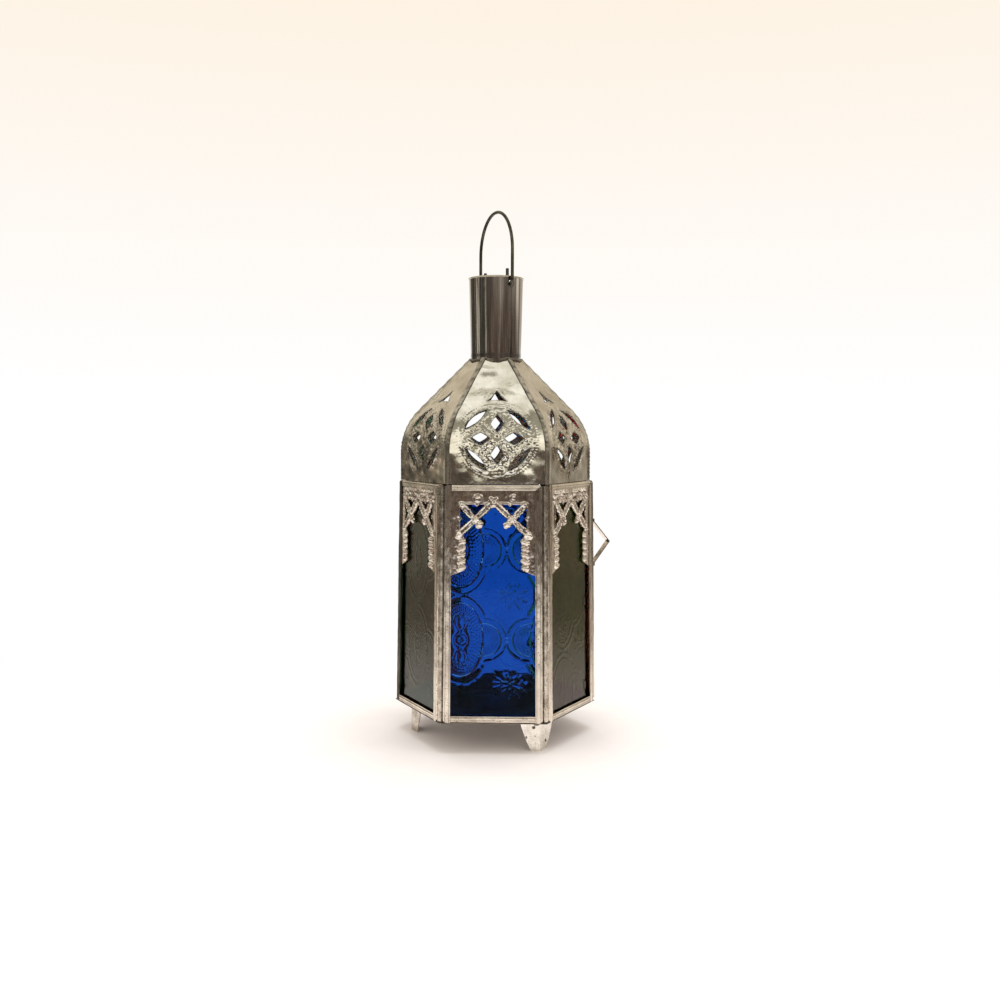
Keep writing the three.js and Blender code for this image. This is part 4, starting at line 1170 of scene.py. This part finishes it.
def corner_solder(number, azimuth, side):
    """Solder that fills the corner between two panels but for a dark seam of painted shade beside one of
    them.
    """
    low, high = PANEL_BOTTOM + 0.4, PANEL_TOP - 0.5
    count = 100
    c, s = cos(radians(azimuth)), sin(radians(azimuth))
    points, shade_and_grime = [], []
    for k in range(count + 1):
        z = low + (high - low) * k / count
        for round_corner, radius, dirt in CORNER:
            u = side * (round_corner + 0.14 * wander(z / 3, round_corner, number))
            r = radius + 0.16 * wander(z / 2.4, u, number + 7.0)
            r, u = r * flare(z), u * flare(z)
            points.append((r * c - u * s, r * s + u * c, z))
            shade_and_grime.append(dirt + 0.25 * wander(z / 4, 2.0 * u, number + 3.0))
    size = len(CORNER)
    faces = tube_faces(count + 1, size)
    faces += [tuple(range(size)), tuple(count * size + i for i in range(size))]
    if side > 0:
        faces = [face[::-1] for face in faces]
    piece = mesh_object(f"corner_solder_{number}", points, faces, SOLDER, 60, shade_and_grime)
    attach(piece, "lantern")


# Solder drips at the front foot, and dark lumps of painted shadow under the front rail, as centre and half
# sizes
DRIPS_AND_SHADOW_LUMPS = [((19.7, -39.6, 11.6), (0.85, 0.3, 0.65)), ((14.6, -39.6, 13.9), (1.5, 0.35, 0.45)),
         ((17.6, -39.6, 14.1), (1.8, 0.35, 0.35)), ((21.0, -39.6, 13.4), (1.3, 0.4, 0.9)),
         ((16.1, -39.5, 6.7), (0.45, 0.3, 0.65)), ((20.3, -39.5, 7.4), (0.25, 0.2, 0.3)),
         ((25.6, -34.6, 4.0), (0.35, 0.5, 0.6)), ((-21.5, -42.6, 14.7), (2.2, 0.6, 0.4)),
         ((-17.0, -42.6, 14.6), (2.8, 0.6, 0.45)), ((-12.0, -42.5, 14.7), (2.4, 0.6, 0.35)),
         ((-8.0, -42.5, 14.9), (1.2, 0.6, 0.3))]


def drip_and_shadow_lump(name, centre, size, seed):
    """A rounded, uneven dark lump: a solder drip at the foot, painted shadow under the front rail."""
    points, rows, sides = [], 8, 14
    for i in range(rows + 1):
        v = pi * i / rows
        for k in range(sides):
            u = 2 * pi * k / sides
            d = Vector((sin(v) * cos(u), sin(v) * sin(u), cos(v)))
            r = 1 + 0.3 * noise.noise(d * 1.7 + Vector((seed, 0, 0)))
            points.append(tuple(centre[j] + size[j] * d[j] * r for j in range(3)))
    faces = tube_faces(rows + 1, sides, turn_over=True)
    piece = mesh_object(name, points, faces, OLD_SOLDER_AND_SHADE, 70)
    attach(piece, "lantern")


# Build

for i in range(6):
    panel_frame(i)
    fret_piece(i)
    pane_piece(i)
    dome_piece(i)
neck_piece()
neck_solder()
bail_piece()
for number, (degrees, side) in enumerate(((-60, -1), (-120, 1), (180, 1), (120, 1))):
    corner_solder(number, degrees, side)
for number, (centre, size) in enumerate(DRIPS_AND_SHADOW_LUMPS):
    drip_and_shadow_lump(f"solder_and_shadow_lump_{number}", centre, size, 3.1 * number)

for name, obj in nodes.items():
    finish = None
    if "knuckle" in name or name == "door_pull":
        finish = STILE_TIN
    elif name.startswith("foot"):
        # The left foot gets the darker copy as painted shade
        finish = SHADED_FOOT_TIN if name == "foot_left" else FOOT_TIN
    # The floor plate and candle cup get the darkened tin as painted shade
    elif name in ("floor_plate", "candle_cup"):
        finish = SHADED_INSIDE_TIN
    elif name.startswith("hinge_pin"):
        finish = WIRE
    if finish:
        for slot_place in obj.material_slots:
            slot_place.material = finish

# Floor: a pale disc that fades into the backdrop away from the object

FLOOR_RADIUS = 0.65
turns = [k * pi / 48 for k in range(96)]
rim = [(FLOOR_RADIUS * cos(turn), FLOOR_RADIUS * sin(turn), 0) for turn in turns]
floor_mesh = bpy.data.meshes.new("floor")
floor_mesh.from_pydata(rim, [], [tuple(range(96))])
floor = placed("floor", floor_mesh)
material, tree, shader = node_material("floor_paper")
paper = noise_value(tree, mapped(tree), 40, 4.0)
paper = ramp(tree, paper, [(0.3, (0.91, 0.90, 0.885)), (0.7, (0.94, 0.93, 0.915))])
tree.links.new(paper, shader.inputs["Base Color"])
shader.inputs["Roughness"].default_value = 0.8
shader.inputs["Specular IOR Level"].default_value = 0.15
backdrop = add(tree, "Emission")
backdrop.inputs["Strength"].default_value = 1.0
point = mapped(tree)
length = add(tree, "VectorMath", point)
length.operation = "LENGTH"
split = add(tree, "SeparateXYZ", point)
far = spread(tree, length.outputs["Value"], 0.10, 0.36)
path = add(tree, "LightPath")
seen = maths(tree, "MAXIMUM", path.outputs["Is Camera Ray"], path.outputs["Is Glossy Ray"])
seen = maths(tree, "MAXIMUM", seen, path.outputs["Is Transmission Ray"])
sideways = maths(tree, "ABSOLUTE", maths(tree, "DIVIDE", split.outputs["X"], length.outputs["Value"]), 0.0)
sideways = maths(tree, "MULTIPLY", spread(tree, sideways, 0.45, 0.75), path.outputs["Is Glossy Ray"])
table = ramp(tree, length.outputs["Value"], [(0.2, (0.48, 0.42, 0.33)), (0.62, (0.37, 0.33, 0.26))])
tree.links.new(mix_colour(tree, sideways, (1.0, 1.0, 1.0), table), backdrop.inputs["Color"])
seen = maths(tree, "MULTIPLY", seen, far)
mixed = add(tree, "MixShader", seen, shader.outputs[0], backdrop.outputs[0])
output = next(node for node in tree.nodes if node.type == "OUTPUT_MATERIAL")
tree.links.new(mixed.outputs[0], output.inputs[0])
floor_mesh.materials.append(material)

# World: plain for the object's surfaces, a studio for what metal mirrors, a pale backdrop behind

world = bpy.data.worlds.new("studio")
bpy.context.scene.world = world
world.use_nodes = True
world.cycles.sampling_method = "NONE"
tree = world.node_tree
tree.nodes.clear()
background = add(tree, "Background")
add(tree, "OutputWorld", background.outputs[0])
split = add(tree, "SeparateXYZ", mapped(tree, "Generated"))
across, to_back, up = split.outputs["X"], split.outputs["Y"], split.outputs["Z"]

# Level walls, from the dark room before the object to the white backdrop behind it
walls = ramp(tree, spread(tree, to_back, -1, 1, 0, 1),
             [(0.0, (0.10, 0.086, 0.074)), (0.25, (0.105, 0.09, 0.079)), (0.5, (0.13, 0.115, 0.10)),
              (0.66, (0.20, 0.18, 0.15)), (0.75, (0.34, 0.31, 0.25)), (0.9, (0.72, 0.69, 0.62)),
              (0.965, (1.0, 0.99, 0.97))])
streaks = noise_value(tree, mapped(tree, "Generated", (1, 1, 0.05)), 11, 3.0, 0.6)
streaks = ramp(tree, streaks, [(0.38, (0.24, 0.24, 0.26)), (0.46, (0.72, 0.75, 0.82)),
                               (0.54, (1.2, 1.03, 0.9)), (0.62, (2.3, 2.05, 1.8))])
walls = mix_colour(tree, spread(tree, to_back, 0.2, 0.9, 1.0, 0.0), walls, streaks, "MULTIPLY")

# Things over eye level, in bands that a slow noise breaks up
drift = noise_value(tree, mapped(tree, "Generated"), 3.0, 3.0, 0.6)
height = maths(tree, "ADD", up, spread(tree, drift, 0.3, 0.7, -0.11, 0.11))
bands = ramp(tree, height,
             [(0.05, (0.15, 0.13, 0.112)), (0.14, (0.34, 0.31, 0.265)), (0.22, (0.80, 0.76, 0.67)),
              (0.32, (1.25, 1.2, 1.07)), (0.46, (1.1, 1.05, 0.94)), (0.56, (0.34, 0.325, 0.265)),
              (0.84, (0.34, 0.325, 0.265)), (0.93, (1.02, 1.0, 0.93))])
clouds = ramp(tree, noise_value(tree, mapped(tree, "Generated"), 7.0, 4.0, 0.6),
              [(0.44, (0.24, 0.235, 0.19)), (0.56, (1.15, 1.12, 1.0))])
haze = ramp(tree, spread(tree, across, -0.6, 0.6), [(0.0, (0.76, 0.70, 0.57)), (1.0, (0.64, 0.58, 0.47))])
back_sky = mix_colour(tree, spread(tree, to_back, 0.25, 0.6), clouds, haze)
upper = mix_colour(tree, spread(tree, to_back, -0.04, 0.08), bands, back_sky)
studio = mix_colour(tree, spread(tree, up, 0.03, 0.12), walls, upper)

# Dark leaves at the left
leaves = ramp(tree, noise_value(tree, mapped(tree, "Generated", (1, 1, 0.5)), 9, 3.0, 0.6),
              [(0.44, (0.06, 0.062, 0.05)), (0.52, (0.20, 0.19, 0.155)), (0.58, (0.62, 0.59, 0.50))])
leafy = maths(tree, "MULTIPLY", spread(tree, across, -0.45, -0.75), spread(tree, up, 0.22, 0.42, 1.0, 0.0))
leafy = maths(tree, "MULTIPLY", leafy, spread(tree, up, -0.055, -0.03))
studio = mix_colour(tree, leafy, studio, leaves)

sky = ramp(tree, up, [(0.03, (1.0, 1.0, 1.0)), (0.36, (0.99, 0.896, 0.776))])
path = add(tree, "LightPath")
mirrored = maths(tree, "MULTIPLY", path.outputs["Is Glossy Ray"], spread(tree, to_back, 0.9, 0.96))
seen = maths(tree, "MAXIMUM", path.outputs["Is Camera Ray"], path.outputs["Is Transmission Ray"])
seen = maths(tree, "MAXIMUM", seen, mirrored)
lit = mix_colour(tree, path.outputs["Is Glossy Ray"], (1.04, 0.925, 0.855), studio)
tree.links.new(mix_colour(tree, seen, lit, sky), background.inputs["Color"])
background.inputs["Strength"].default_value = 1.0

overhead = bpy.data.lights.new("overhead", "AREA")
overhead.shape = "RECTANGLE"
overhead.size, overhead.size_y = 0.7, 0.6
overhead.energy = 5.4
overhead.color = (0.91, 0.99, 1.02)
lamp = placed("overhead", overhead)
lamp.visible_glossy = False
lamp.location = (0.05, 0.05, 1.1)

camera_data = bpy.data.cameras.new("camera")
camera_data.lens = 37.8
camera_data.sensor_width = 36.0
camera_data.clip_start = 0.01
camera = placed("camera", camera_data)
camera.location = (0.0115, -0.536, 0.1565)
pitch = radians(4.05)
look = Vector((-0.0171, 0.9999, 0)).normalized() * cos(pitch) + Vector((0, 0, -sin(pitch)))
aim = look.to_track_quat("-Z", "Y").to_matrix()
camera.rotation_euler = (aim @ Matrix.Rotation(radians(0.205), 3, "Z")).to_euler()
bpy.context.scene.camera = camera
bpy.context.scene.view_settings.view_transform = "Standard"
